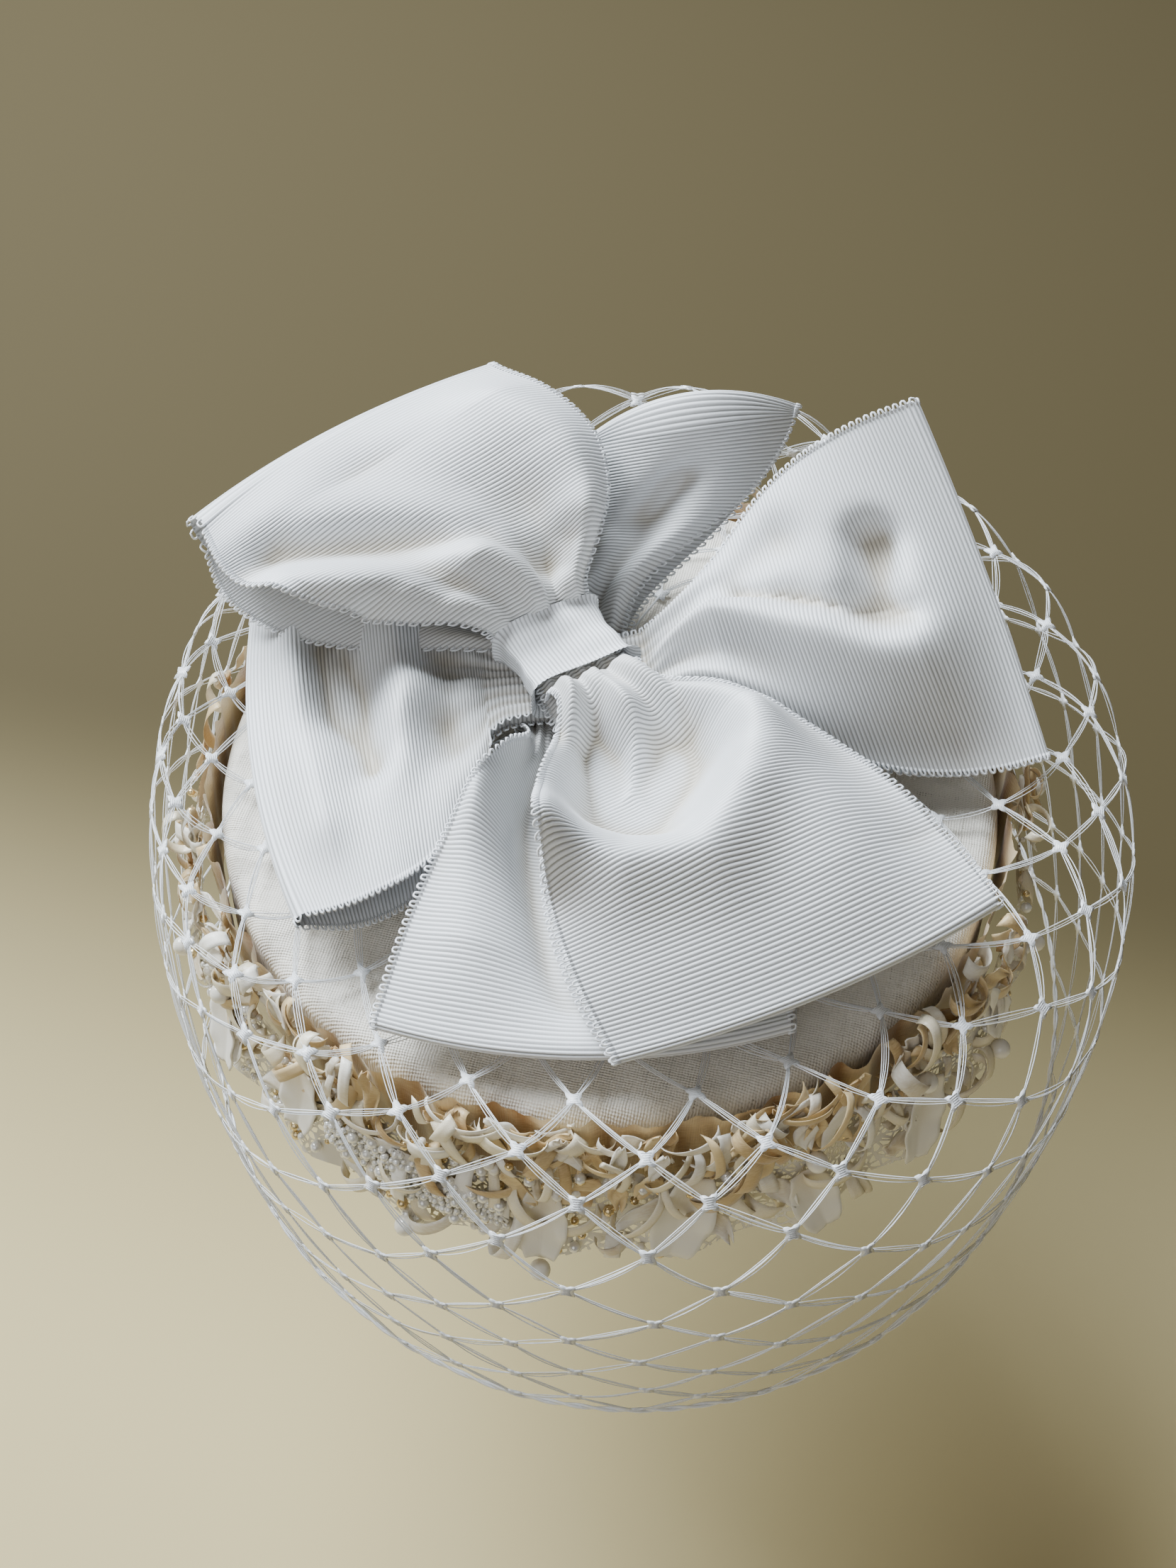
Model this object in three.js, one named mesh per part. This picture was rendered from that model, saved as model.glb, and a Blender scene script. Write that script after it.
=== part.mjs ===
import * as THREE from 'three';

// Driving sizes in millimetres. The origin is the middle of the hat's rim, +Z is up, the front is -Y.
const crownHeight = 40;
const crownTopRadius = 81;
const rimFlare = 2.5;
const crownWall = 2.5;
const crownEdgeRadius = 4.5;
const seatGap = 0.35;

const ribbonWidth = 75;
const ribbonWall = 1.1;
const foldRadius = 1.25;
const waistShare = 0.25;
const waistRoom = 0.7;
const pairGap = 1;
const knotX = -9;
const knotY = 14;
const knotLength = 17;
const knotWall = 1.2;
const knotEndRoom = 0.5;
const knotSideRoom = 1.4;
const knotTopRoom = 1.3;
const knotCrown = 1.8;

const ruffleWall = 1.2;
const ruffleBottom = 18;
const ruffleStand = 3;
const ruffleWave = 1.3;
const ruffleWaves = 32;
const ruffleUneven = 0.9;

const frillWall = 1.2;
const frillTop = 31;
const frillBottom = 5;
const frillFlare = 3.2;
const frillWave = 1.1;
const frillWaves = 22;
const frillScallop = 2.2;

const petalLength = 19;
const petalWidth = 11;
const petalWall = 1.1;
const petalDrop = 3;
const pearlRadius = 2.1;
const curlRadius = 0.9;
const curlSize = 6;
const appliqueLength = 40;
const appliqueHeight = 13;
const appliqueWall = 1.2;
const appliqueTurn = 245.5;
const appliqueRise = 0.62;
const appliqueSlope = 5;
const appliqueBump = 0.7;

const netWall = 1.2;
const netStrand = 3.4;
const netAround = 20;
const netRight = 6.6;
const netFront = 1.5;
const netOval = 2.6;
const netTilt = 11;

const pearlSides = 10;
const crownSides = 40;
const tau = 2 * Math.PI;

// Seats that follow from the sizes above
const crownRimRadius = crownTopRadius + rimFlare;
const knotHeld = knotLength / 2 + knotEndRoom;
const ruffleInner = seatGap;
const frillInner = ruffleInner + ruffleWall + 2 * ruffleWave + seatGap;
const hubMiddle = seatGap + netWall / 2;
const hubTop = crownHeight + seatGap + netWall;

// One row for each section of a ribbon loop, from the waist to the fold, as shares of its named sizes
const loopSections = [
  { at: 0.00, spread: 0.00, lift: 0.06, pleat: 0.25, tie: 1.00 },
  { at: 0.10, spread: 0.05, lift: 0.45, pleat: 0.80, tie: 0.80 },
  { at: 0.22, spread: 0.28, lift: 0.74, pleat: 1.00, tie: 0.45 },
  { at: 0.36, spread: 0.56, lift: 0.86, pleat: 0.70, tie: 0.25 },
  { at: 0.52, spread: 0.78, lift: 1.00, pleat: 0.35, tie: 0.20 },
  { at: 0.68, spread: 0.91, lift: 0.88, pleat: 0.10, tie: 0.15 },
  { at: 0.84, spread: 0.98, lift: 0.52, pleat: 0.00, tie: 0.10 },
  { at: 1.00, spread: 1.00, lift: 0.00, pleat: 0.00, tie: 0.00 },
];

// One row for each loop, angles in degrees. The reach is a share of the crown's top radius, the rise of
// the crown's height, the held length of the knot's, and bow, crest, belly, pleat and curl of the ribbon's
// width.
const loopShares = [
  { name: 'loop_front', tier: 3, held: 0.53, waist: -60, heading: -60, reach: 1.08, rise: 0.45, climb: 1,
    yaw: -8, bank: 5, flare: 1.0, bow: 0.04, crest: 0.173, belly: 0.008, lean: 0, pleat: 0.04,
    pitch: 0.7, phase: -0.05, width: 1, curl: 0 },
  { name: 'loop_back_left', tier: 3, held: 0.53, waist: 120, heading: 137, reach: 0.778, rise: 0.925,
    climb: 1, yaw: -10, bank: -3, flare: 0.9, bow: 0.053, crest: 0.173, belly: 0.013, lean: 0,
    pleat: 0.035, pitch: 0.8, phase: 0.1, width: 1, curl: 0 },
  { name: 'loop_right', tier: 2, held: 1, waist: 6, heading: 4.5, reach: 1.02, rise: 0.85, climb: 1.5,
    yaw: 20, bank: 34, flare: 1.5, bow: 0.013, crest: 0.133, belly: 0.02, lean: -0.3, pleat: 0.032,
    pitch: 0.8, phase: 0, width: 1, curl: 0 },
  { name: 'loop_left', tier: 2, held: 1, waist: 186, heading: 202, reach: 0.765, rise: 0.325, climb: 0.9,
    yaw: -9, bank: -2, flare: 1, bow: 0.053, crest: 0.08, belly: 0.003, lean: -0.5, pleat: 0.027,
    pitch: 0.8, phase: 0.1, width: 1, curl: 0 },
  { name: 'loop_front_left', tier: 1, held: 1.41, waist: -96, heading: -87.5, reach: 0.988, rise: 0.225,
    climb: 1, yaw: -3, bank: 0, flare: 1.15, bow: 0.08, crest: 0.047, belly: 0.005, lean: 0.6,
    pleat: 0.019, pitch: 0.8, phase: -0.4, width: 1, curl: 0 },
  { name: 'loop_back', tier: 1, held: 0.94, waist: 84, heading: 63, reach: 0.74, rise: 0.84, climb: 2.5,
    yaw: 25, bank: -12, flare: 2.2, bow: 0.027, crest: 0.08, belly: 0.013, lean: 0.7, pleat: 0.021,
    pitch: 0.8, phase: 0.1, width: 0.6, curl: 0.187 },
];
const loops = loopShares.map((row) => ({
  ...row,
  held: row.held * knotLength,
  reach: row.reach * crownTopRadius,
  rise: row.rise * crownHeight,
  bow: row.bow * ribbonWidth,
  crest: row.crest * ribbonWidth,
  belly: row.belly * ribbonWidth,
  pleat: row.pleat * ribbonWidth,
  curl: row.curl * ribbonWidth,
}));

// One row for each dent or swelling of a loop's upper layer, its place and size as shares of the loop
const loopDents = [
  { loop: 'loop_front', at: 0.33, across: -0.08, long: 0.17, wide: 0.36, deep: -0.65 },
  { loop: 'loop_front', at: 0.60, across: 0.50, long: 0.30, wide: 0.30, deep: 0.20 },
  { loop: 'loop_back_left', at: 0.30, across: 0.30, long: 0.20, wide: 0.25, deep: 0.45 },
  { loop: 'loop_back_left', at: 0.22, across: 0.62, long: 0.10, wide: 0.16, deep: -0.30 },
  { loop: 'loop_right', at: 0.52, across: 0.15, long: 0.12, wide: 0.22, deep: -0.45 },
  { loop: 'loop_left', at: 0.60, across: -0.10, long: 0.30, wide: 0.22, deep: -0.60 },
  { loop: 'loop_front_left', at: 0.50, across: 0.10, long: 0.35, wide: 0.24, deep: -0.50 },
  { loop: 'loop_back', at: 0.55, across: -0.20, long: 0.16, wide: 0.30, deep: -0.60 },
];

// One row for each level of the net between its hub and its hem: its radius as a share of the crown's
// top radius, and its height over the crown's top as a share of the crown's height
const netProfile = [
  { at: 0.00, radius: 0.494, up: 0 },
  { at: 0.22, radius: 0.901, up: 0.061 },
  { at: 0.34, radius: 1.074, up: 0.171 },
  { at: 0.44, radius: 1.185, up: 0.216 },
  { at: 0.54, radius: 1.265, up: 0.076 },
  { at: 0.68, radius: 1.3025, up: -0.399 },
  { at: 0.84, radius: 1.3025, up: -1.099 },
  { at: 1.00, radius: 1.278, up: -1.774 },
];
const netRings = [0.00, 0.20, 0.37, 0.53, 0.68, 0.84, 1.00];

// Petals and pearls sit on crests of the frill, counted round from +X; height is a share of the frill
const petals = [
  { crest: 12, height: 0.60, size: 0.80, roll: 24 },
  { crest: 13, height: 0.42, size: 0.95, roll: -18 },
  { crest: 14, height: 0.66, size: 0.90, roll: 0 },
  { crest: 16, height: 0.40, size: 0.90, roll: 0 },
  { crest: 17, height: 0.50, size: 1.10, roll: 14 },
  { crest: 18, height: 0.26, size: 0.90, roll: -14 },
  { crest: 19, height: 0.40, size: 1.00, roll: 20 },
  { crest: 20, height: 0.62, size: 0.85, roll: -16 },
  { crest: 0, height: 0.50, size: 0.80, roll: 15 },
  { crest: 3, height: 0.55, size: 0.80, roll: -15 },
  { crest: 6, height: 0.50, size: 0.80, roll: 18 },
  { crest: 9, height: 0.55, size: 0.80, roll: -15 },
];
const pearls = [
  { crest: 11, height: 0.30 },
  { crest: 12, height: 0.25 },
  { crest: 13, height: 0.98 },
  { crest: 15, height: 0.10 },
  { crest: 16, height: 0.04 },
  { crest: 18, height: 0.86 },
  { crest: 19, height: 1.00 },
  { crest: 20, height: 0.25 },
  { crest: 21, height: 0.30 },
  { crest: 0, height: 1.05 },
];

// Straw curls, with their bends as shares of their size
const curls = [
  { turn: 270, up: 0.5, hand: 1 },
  { turn: 286, up: 0.5, hand: -1 },
  { turn: 302, up: 0.5, hand: 1 },
];
const curlBends = [
  { side: -0.33, up: 1, off: 0.03 },
  { side: 0.33, up: 0.5, off: 0.1 },
  { side: 0.25, up: -0.33, off: 0.15 },
  { side: -0.25, up: -1, off: 0 },
];

// Interpolation of one column of a table of rows through smooth curves
function column(rows, name, place) {
  const u = Math.min(Math.max(place, 0), 1);
  let i = 0;
  while (i < rows.length - 2 && u > rows[i + 1].at) {
    i += 1;
  }
  const slope = (k) => {
    const low = Math.max(k - 1, 0);
    const high = Math.min(k + 1, rows.length - 1);
    return (rows[high][name] - rows[low][name]) / (rows[high].at - rows[low].at);
  };
  const span = rows[i + 1].at - rows[i].at;
  const v = (u - rows[i].at) / span;
  const start = rows[i][name] * (2 * v ** 3 - 3 * v ** 2 + 1) + slope(i) * span * (v ** 3 - 2 * v ** 2 + v);
  const end = rows[i + 1][name] * (3 * v ** 2 - 2 * v ** 3) + slope(i + 1) * span * (v ** 3 - v ** 2);
  return start + end;
}

function heading(degrees) {
  const angle = THREE.MathUtils.degToRad(degrees);
  return new THREE.Vector3(Math.cos(angle), Math.sin(angle), 0);
}

function onCircle(radius, angle, z) {
  return new THREE.Vector3(radius * Math.cos(angle), radius * Math.sin(angle), z);
}

function crownRadius(z) {
  return crownRimRadius + (crownTopRadius - crownRimRadius) * Math.min(Math.max(z / crownHeight, 0), 1);
}

// A closed body from corner points and triangles or quads that list them
function bodyGeometry(points, faces) {
  const position = [];
  const index = [];
  points.forEach((p) => position.push(p.x, p.y, p.z));
  faces.forEach((f) => {
    index.push(f[0], f[1], f[2]);
    if (f.length === 4) {
      index.push(f[0], f[2], f[3]);
    }
  });
  const geometry = new THREE.BufferGeometry();
  geometry.setAttribute('position', new THREE.Float32BufferAttribute(position, 3));
  geometry.setIndex(index);
  geometry.computeVertexNormals();
  return geometry;
}

// A sheet of even thickness over a grid of points of its middle surface. Rows run along u, columns
// along v; a ring closes on itself along u. Its front is where du cross dv points.
function sheetGeometry(rows, columns, wall, ring, middle) {
  const at = (i, j) => middle(i / rows, j / columns);
  const uCount = ring ? rows : rows + 1;
  const grid = [];
  for (let i = 0; i < uCount; i += 1) {
    const line = [];
    for (let j = 0; j <= columns; j += 1) {
      line.push(at(i, j));
    }
    grid.push(line);
  }
  const wrap = (i) => (ring ? (i + rows) % rows : Math.min(Math.max(i, 0), rows));
  const points = [];
  [0.5, -0.5].forEach((side) => {
    for (let i = 0; i < uCount; i += 1) {
      for (let j = 0; j <= columns; j += 1) {
        const du = grid[wrap(i + 1)][j].clone().sub(grid[wrap(i - 1)][j]);
        const dv = grid[i][Math.min(j + 1, columns)].clone().sub(grid[i][Math.max(j - 1, 0)]);
        const normal = du.cross(dv).normalize();
        points.push(grid[i][j].clone().addScaledVector(normal, side * wall));
      }
    }
  });
  const id = (side, i, j) => (side * uCount + wrap(i)) * (columns + 1) + j;
  const faces = [];
  for (let i = 0; i < rows; i += 1) {
    for (let j = 0; j < columns; j += 1) {
      faces.push([id(0, i, j), id(0, i + 1, j), id(0, i + 1, j + 1), id(0, i, j + 1)]);
      faces.push([id(1, i, j), id(1, i, j + 1), id(1, i + 1, j + 1), id(1, i + 1, j)]);
    }
    faces.push([id(0, i, 0), id(1, i, 0), id(1, i + 1, 0), id(0, i + 1, 0)]);
    faces.push([id(0, i, columns), id(0, i + 1, columns), id(1, i + 1, columns), id(1, i, columns)]);
  }
  if (!ring) {
    for (let j = 0; j < columns; j += 1) {
      faces.push([id(0, 0, j), id(0, 0, j + 1), id(1, 0, j + 1), id(1, 0, j)]);
      faces.push([id(0, rows, j), id(1, rows, j), id(1, rows, j + 1), id(0, rows, j + 1)]);
    }
  }
  return bodyGeometry(points, faces);
}

function piece(name, geometry, color, roughness) {
  const material = new THREE.MeshStandardMaterial({ color, roughness, metalness: 0 });
  const mesh = new THREE.Mesh(geometry, material);
  mesh.name = name;
  return mesh;
}

// The pillbox: one wall turned round the axis, open below, with a rounded top edge
function crownGeometry() {
  const profile = [];
  const edgeSteps = 4;
  const innerEdge = Math.max(crownEdgeRadius - crownWall, 0.8);
  profile.push(new THREE.Vector2(0, crownHeight - crownWall));
  for (let k = edgeSteps; k >= 0; k -= 1) {
    const angle = (k / edgeSteps) * (Math.PI / 2);
    const r = crownTopRadius - crownWall - innerEdge + innerEdge * Math.cos(angle);
    profile.push(new THREE.Vector2(r, crownHeight - crownWall - innerEdge + innerEdge * Math.sin(angle)));
  }
  profile.push(new THREE.Vector2(crownRimRadius - crownWall, 0));
  profile.push(new THREE.Vector2(crownRimRadius, 0));
  for (let k = 0; k <= edgeSteps; k += 1) {
    const angle = (k / edgeSteps) * (Math.PI / 2);
    const r = crownTopRadius - crownEdgeRadius + crownEdgeRadius * Math.cos(angle);
    profile.push(new THREE.Vector2(r, crownHeight - crownEdgeRadius + crownEdgeRadius * Math.sin(angle)));
  }
  profile.push(new THREE.Vector2(0, crownHeight));
  const geometry = new THREE.LatheGeometry(profile, crownSides);
  geometry.rotateX(Math.PI / 2);
  return geometry;
}

// The amber ruffle stands against the crown's side and waves over its top edge
function ruffleGeometry() {
  const top = crownHeight + ruffleStand;
  return sheetGeometry(ruffleWaves * 3, 2, ruffleWall, true, (u, v) => {
    const angle = u * tau;
    const z = ruffleBottom + (top - ruffleBottom) * v + ruffleUneven * v * Math.sin(angle * 7 + 1);
    const wave = ruffleWave * (1 + Math.sin(angle * ruffleWaves)) * (0.25 + 0.75 * v);
    return onCircle(crownRadius(z) + ruffleInner + ruffleWall / 2 + wave, angle, z);
  });
}

// The lace frill hangs outside the ruffle, with a scalloped lower edge that flares
function frillGeometry() {
  return sheetGeometry(frillWaves * 4, 2, frillWall, true, (u, v) => {
    const angle = u * tau;
    const scallop = frillScallop * Math.abs(Math.sin(angle * frillWaves / 2)) * (1 - v);
    const z = frillBottom + (frillTop - frillBottom) * v + scallop;
    return onCircle(frillRadius(angle, v, z), angle, z);
  });
}

function frillRadius(angle, v, z) {
  const wave = frillWave * (1 + Math.cos(angle * frillWaves)) * (1 - 0.5 * v);
  return crownRadius(z) + frillInner + frillWall / 2 + wave + frillFlare * (1 - v) ** 2;
}

// A cupped petal lies on the frill, turned by its roll and lifted at its tip and sides
function petalGeometry(row) {
  const length = petalLength * row.size;
  const width = petalWidth * row.size;
  const lean = THREE.MathUtils.degToRad(row.roll);
  const crest = row.crest * (tau / frillWaves);
  const middleZ = frillBottom + (frillTop - frillBottom) * row.height + petalDrop;
  return sheetGeometry(4, 2, petalWall, false, (u, v) => {
    const half = (width / 2) * (0.3 + 0.7 * Math.sin(Math.PI * (0.12 + 0.76 * u)));
    const w = (2 * v - 1) * half;
    const drop = (u - 0.5) * length;
    const z = middleZ - drop * Math.cos(lean) - w * Math.sin(lean);
    const lift = 0.1 * length * Math.max(u - 0.35, 0) + (w * w) / (1.6 * petalWidth);
    const radius = frillEnvelope(z) + seatGap + petalWall / 2 + lift;
    const angle = crest + (w * Math.cos(lean) - drop * Math.sin(lean)) / radius;
    return onCircle(radius, angle, z);
  });
}

// How far a place on a loop is past a length that is held, as a share of the rest of its reach
function heldShare(loop, held, s) {
  return Math.min(1, Math.max(0, (s * loop.reach - held) / (loop.reach - held)));
}

// Spine of a loop: from its waist at the knot to the middle of its fold
function loopSpine(loop, s) {
  const level = waistLevel(loop.tier);
  const free = heldShare(loop, knotHeld, s);
  const turned = smooth(free);
  const out = heading(loop.waist).lerp(heading(loop.heading), turned).normalize()
    .multiplyScalar(loop.reach * s);
  const start = heading(loop.waist).multiplyScalar((seatGap / 2) * (1 - s));
  const z = level + (crownHeight + loop.rise - level) * free ** loop.climb;
  return new THREE.Vector3(knotX, knotY, z).add(out).add(start);
}

// Height of a pair's waist: each pair lies on the one below, the top pair inside the knot band
function waistLevel(tier) {
  const halfStack = foldRadius + ribbonWall / 2 + waistRoom;
  const pair = 2 * halfStack + pairGap;
  const band = tier === 3 ? knotWall + 1.5 * seatGap : 0;
  return hubTop + seatGap + halfStack + (tier - 1) * pair + band;
}

function smooth(s) {
  return s * s * (3 - 2 * s);
}

// A point of a loop's middle surface. Layer +1 is the upper layer, -1 the lower one, and turn carries
// the point round the fold between them. The held length by the knot keeps the waist's section.
function loopPoint(loop, layer, s, t, turn) {
  const step = 0.01;
  const tangent = loopSpine(loop, s + step).sub(loopSpine(loop, s - step)).normalize();
  const bank = THREE.MathUtils.degToRad(loop.bank);
  const waistAcross = heading(loop.waist + 90);
  const foldAcross = heading(loop.heading + 90 + loop.yaw).multiplyScalar(Math.cos(bank));
  foldAcross.z = Math.sin(bank);
  const free = heldShare(loop, loop.held, s);
  const open = heldShare(loop, knotHeld, s);
  const across = waistAcross.lerp(foldAcross, smooth(open)).normalize();
  const normal = tangent.clone().cross(across).normalize();
  const spread = column(loopSections, 'spread', open ** loop.flare);
  const half = (ribbonWidth / 2) * (waistShare + (loop.width - waistShare) * spread);
  const wave = loop.pleat * column(loopSections, 'pleat', free)
    * Math.cos(tau * (t - loop.phase) / loop.pitch);
  const lift = column(loopSections, 'lift', free);
  let offset = loop.curl * open ** 3 * (1 - t * t);
  let past = loop.bow * (1 - t * t) * s ** 3;
  if (turn === undefined) {
    offset += layer * foldRadius;
  } else {
    past += foldRadius * Math.cos(turn);
    offset += foldRadius * Math.sin(turn);
  }
  if (layer > 0) {
    offset += loop.crest * lift * (1 - loop.lean * t) * (1 - 0.25 * t * t) + wave;
    loopDents.filter((dent) => dent.loop === loop.name).forEach((dent) => {
      const far = ((free - dent.at) / dent.long) ** 2 + ((t - dent.across) / dent.wide) ** 2;
      offset += loop.crest * dent.deep * Math.exp(-far) * Math.min(1, free * 4, (1 - free) * 5);
    });
  } else {
    offset += wave * column(loopSections, 'tie', free) - loop.belly * lift;
  }
  return loopSpine(loop, s).addScaledVector(tangent, past).addScaledVector(across, half * t)
    .addScaledVector(normal, offset);
}

function loopGeometry(loop) {
  const steps = 6;
  const turns = 3;
  const count = 2 * steps + turns;
  const across = loop.tier === 3 ? 10 : 8;
  const sectionAt = (k) => {
    const held = knotHeld / loop.reach;
    return k === 0 ? 0 : held + (1 - held) * ((k - 1) / (steps - 1)) ** 1.1;
  };
  return sheetGeometry(across, count, ribbonWall, false, (u, v) => {
    const t = 2 * u - 1;
    const k = Math.round(v * count);
    if (k <= steps) {
      return loopPoint(loop, -1, sectionAt(k), t);
    }
    if (k >= steps + turns) {
      return loopPoint(loop, 1, sectionAt(count - k), t);
    }
    const turn = -Math.PI / 2 + ((k - steps) / turns) * Math.PI;
    return loopPoint(loop, -1, 1, t, turn);
  });
}

// The knot band: a flat ring of ribbon round the waists of the top pair
function knotGeometry() {
  const level = waistLevel(3);
  const halfWide = (ribbonWidth / 2) * waistShare + knotSideRoom;
  const low = foldRadius + ribbonWall / 2 + knotTopRoom + knotWall / 2;
  const high = low + knotCrown;
  const axis = heading(loops[0].waist);
  const across = heading(loops[0].waist + 90);
  const middle = new THREE.Vector3(knotX, knotY, level + (high - low) / 2);
  const tall = (high + low) / 2;
  const power = 0.42;
  return sheetGeometry(18, 2, knotWall, true, (u, v) => {
    const c = Math.cos(u * tau);
    const s = Math.sin(u * tau);
    const w = (halfWide + knotWall / 2) * Math.sign(c) * Math.abs(c) ** power;
    const z = tall * Math.sign(s) * Math.abs(s) ** power;
    return middle.clone().addScaledVector(across, w).addScaledVector(axis, (0.5 - v) * knotLength)
      .add(new THREE.Vector3(0, 0, z));
  });
}

// Middle surface of the net at a share of its drop and an angle round the hat
function netPoint(at, angle) {
  const up = column(netProfile, 'up', at) * crownHeight;
  const near = 1 - smooth(Math.min(1, at / 0.35));
  const side = smooth(Math.min(1, Math.max(0, (at - 0.28) / 0.3)));
  const shift = netRight * Math.cos(angle) - netFront * Math.sin(angle) - netOval * Math.cos(2 * angle);
  const radius = crownTopRadius * column(netProfile, 'radius', at) + side * shift;
  const x = radius * Math.cos(angle) + near * knotX;
  const y = radius * Math.sin(angle) + near * knotY;
  return new THREE.Vector3(x, y, crownHeight + hubMiddle + up + netTilt * side * Math.sin(angle));
}

// Largest reach of the frill's outer side at a height, which everything sewn to it lies on
function frillEnvelope(z) {
  const v = Math.min(Math.max((z - frillBottom) / (frillTop - frillBottom), 0), 1);
  const wave = 2 * frillWave * (1 - 0.5 * v);
  return crownRadius(z) + frillInner + frillWall + wave + frillFlare * (1 - v) ** 2;
}

// The net: a hub under the bow, a flat knot at each crossing, strands between the knots and a hem.
// Each corner of a knot is a pair of points, one on the net's outer side and one on its inner side.
function netGeometry() {
  const points = [];
  const faces = [];
  const pair = (frame, down, round) => {
    const ids = { o: points.length, i: points.length + 1 };
    [0.5, -0.5].forEach((side) => {
      points.push(frame.p.clone().addScaledVector(frame.down, down).addScaledVector(frame.round, round)
        .addScaledVector(frame.normal, side * netWall));
    });
    return ids;
  };
  const patch = (...corners) => {
    faces.push(corners.map((c) => c.o));
    faces.push(corners.map((c) => c.i).reverse());
  };
  const wall = (from, to) => faces.push([to.o, from.o, from.i, to.i]);
  const half = netStrand / Math.SQRT2;
  const knots = netRings.map((at, ring) => {
    const line = [];
    for (let k = 0; k < netAround; k += 1) {
      const frame = netFrame(at, ((k + (ring % 2) / 2) / netAround) * tau);
      line.push({ n: pair(frame, -half, 0), w: pair(frame, 0, -half),
        s: pair(frame, half, 0), e: pair(frame, 0, half) });
    }
    return line;
  });
  knots.flat().forEach((knot) => patch(knot.n, knot.w, knot.s, knot.e));
  const strand = (a, b, c, d) => {
    patch(a, b, c, d);
    wall(a, b);
    wall(c, d);
  };
  for (let ring = 0; ring < netRings.length - 1; ring += 1) {
    for (let k = 0; k < netAround; k += 1) {
      const here = knots[ring][k];
      const east = knots[ring + 1][(k + (ring % 2)) % netAround];
      const west = knots[ring + 1][(k + (ring % 2) + netAround - 1) % netAround];
      strand(here.s, east.w, east.n, here.e);
      strand(here.w, west.n, west.e, here.s);
    }
  }
  const hub = { p: netPoint(0, 0), down: heading(0), round: heading(90), normal: new THREE.Vector3(0, 0, 1) };
  hub.p.set(knotX, knotY, hub.p.z);
  const middle = pair(hub, 0, 0);
  const first = knots[0];
  const last = knots[knots.length - 1];
  for (let k = 0; k < netAround; k += 1) {
    const next = (k + 1) % netAround;
    patch(middle, first[k].w, first[k].n);
    patch(middle, first[k].n, first[k].e);
    patch(middle, first[k].e, first[next].w);
    wall(first[k].e, first[next].w);
    strand(last[k].s, last[next].s, last[next].w, last[k].e);
  }
  return bodyGeometry(points, faces);
}

// The net's surface directions at a place: down the drop, round the hat and outwards
function netFrame(at, angle) {
  const step = 0.004;
  const down = netPoint(Math.min(at + step, 1), angle).sub(netPoint(Math.max(at - step, 0), angle));
  const round = netPoint(at, angle + step).sub(netPoint(at, angle - step));
  down.normalize();
  round.normalize();
  return { p: netPoint(at, angle), down, round, normal: down.clone().cross(round).normalize() };
}

// A pearl is seated on a crest of the frill's waves
function pearlMesh(row, number) {
  const crest = row.crest * (tau / frillWaves);
  const z = frillBottom + (frillTop - frillBottom) * row.height;
  const geometry = new THREE.SphereGeometry(pearlRadius, pearlSides, pearlSides / 2);
  const mesh = piece(`pearl_${number}`, geometry, 0xefe6d2, 0.3);
  mesh.position.copy(onCircle(frillEnvelope(z) + seatGap + pearlRadius, crest, z));
  return mesh;
}

// A straw curl: a thin round strip that bends over the frill and ends on it
function curlGeometry(row) {
  const route = curlBends.map((bend) => {
    const z = frillTop + (row.up + bend.up) * curlSize;
    const angle = THREE.MathUtils.degToRad(row.turn) + (bend.side * curlSize * row.hand) / crownRimRadius;
    const v = (z - frillBottom) / (frillTop - frillBottom);
    const surface = v < 1 ? frillRadius(angle, v, z) + frillWall / 2 : frillEnvelope(z);
    return onCircle(surface + seatGap + curlRadius + bend.off * curlSize, angle, z);
  });
  const section = new THREE.Shape();
  section.absarc(0, 0, curlRadius, 0, tau, false);
  const path = new THREE.CatmullRomCurve3(route);
  return new THREE.ExtrudeGeometry(section, { steps: 7, curveSegments: 3, bevelEnabled: false, extrudePath: path });
}

// The beaded applique follows the frill at the front left, with rows of low bumps
function appliqueGeometry() {
  const centre = THREE.MathUtils.degToRad(appliqueTurn);
  const middleZ = frillBottom + (frillTop - frillBottom) * appliqueRise;
  return sheetGeometry(12, 2, appliqueWall, false, (u, v) => {
    const taper = 0.45 + 0.55 * Math.sin(Math.PI * Math.min(Math.max(u, 0.04), 0.96));
    const z = middleZ + (0.5 - u) * appliqueSlope + (v - 0.5) * appliqueHeight * taper;
    const bump = appliqueBump * (1 + Math.sin(u * 3 * tau)) * (v > 0.1 && v < 0.9 ? 1 : 0.3);
    const radius = frillEnvelope(z) + seatGap + appliqueWall / 2 + bump;
    return onCircle(radius, centre + ((u - 0.5) * appliqueLength) / radius, z);
  });
}

function buildHat() {
  const group = new THREE.Group();
  group.add(piece('crown', crownGeometry(), 0xcfcec9, 0.9));
  group.add(piece('amber_ruffle', ruffleGeometry(), 0x9a7a3c, 0.6));
  group.add(piece('lace_frill', frillGeometry(), 0xe2ddcf, 0.85));
  group.add(piece('beaded_applique', appliqueGeometry(), 0xdedad0, 0.5));
  petals.forEach((row, i) => group.add(piece(`petal_${i + 1}`, petalGeometry(row), 0xe9e2d0, 0.6)));
  pearls.forEach((row, i) => group.add(pearlMesh(row, i + 1)));
  curls.forEach((row, i) => group.add(piece(`straw_curl_${i + 1}`, curlGeometry(row), 0xe8dcc0, 0.5)));
  loops.forEach((loop) => group.add(piece(loop.name, loopGeometry(loop), 0xe6e8ea, 0.7)));
  group.add(piece('knot_band', knotGeometry(), 0xe6e8ea, 0.7));
  group.add(piece('veil_net', netGeometry(), 0xf2f2f0, 0.6));
  return group;
}

const hat = buildHat();
export default hat;
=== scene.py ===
import math
import random

import bpy
import numpy as np
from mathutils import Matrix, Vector, noise


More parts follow.
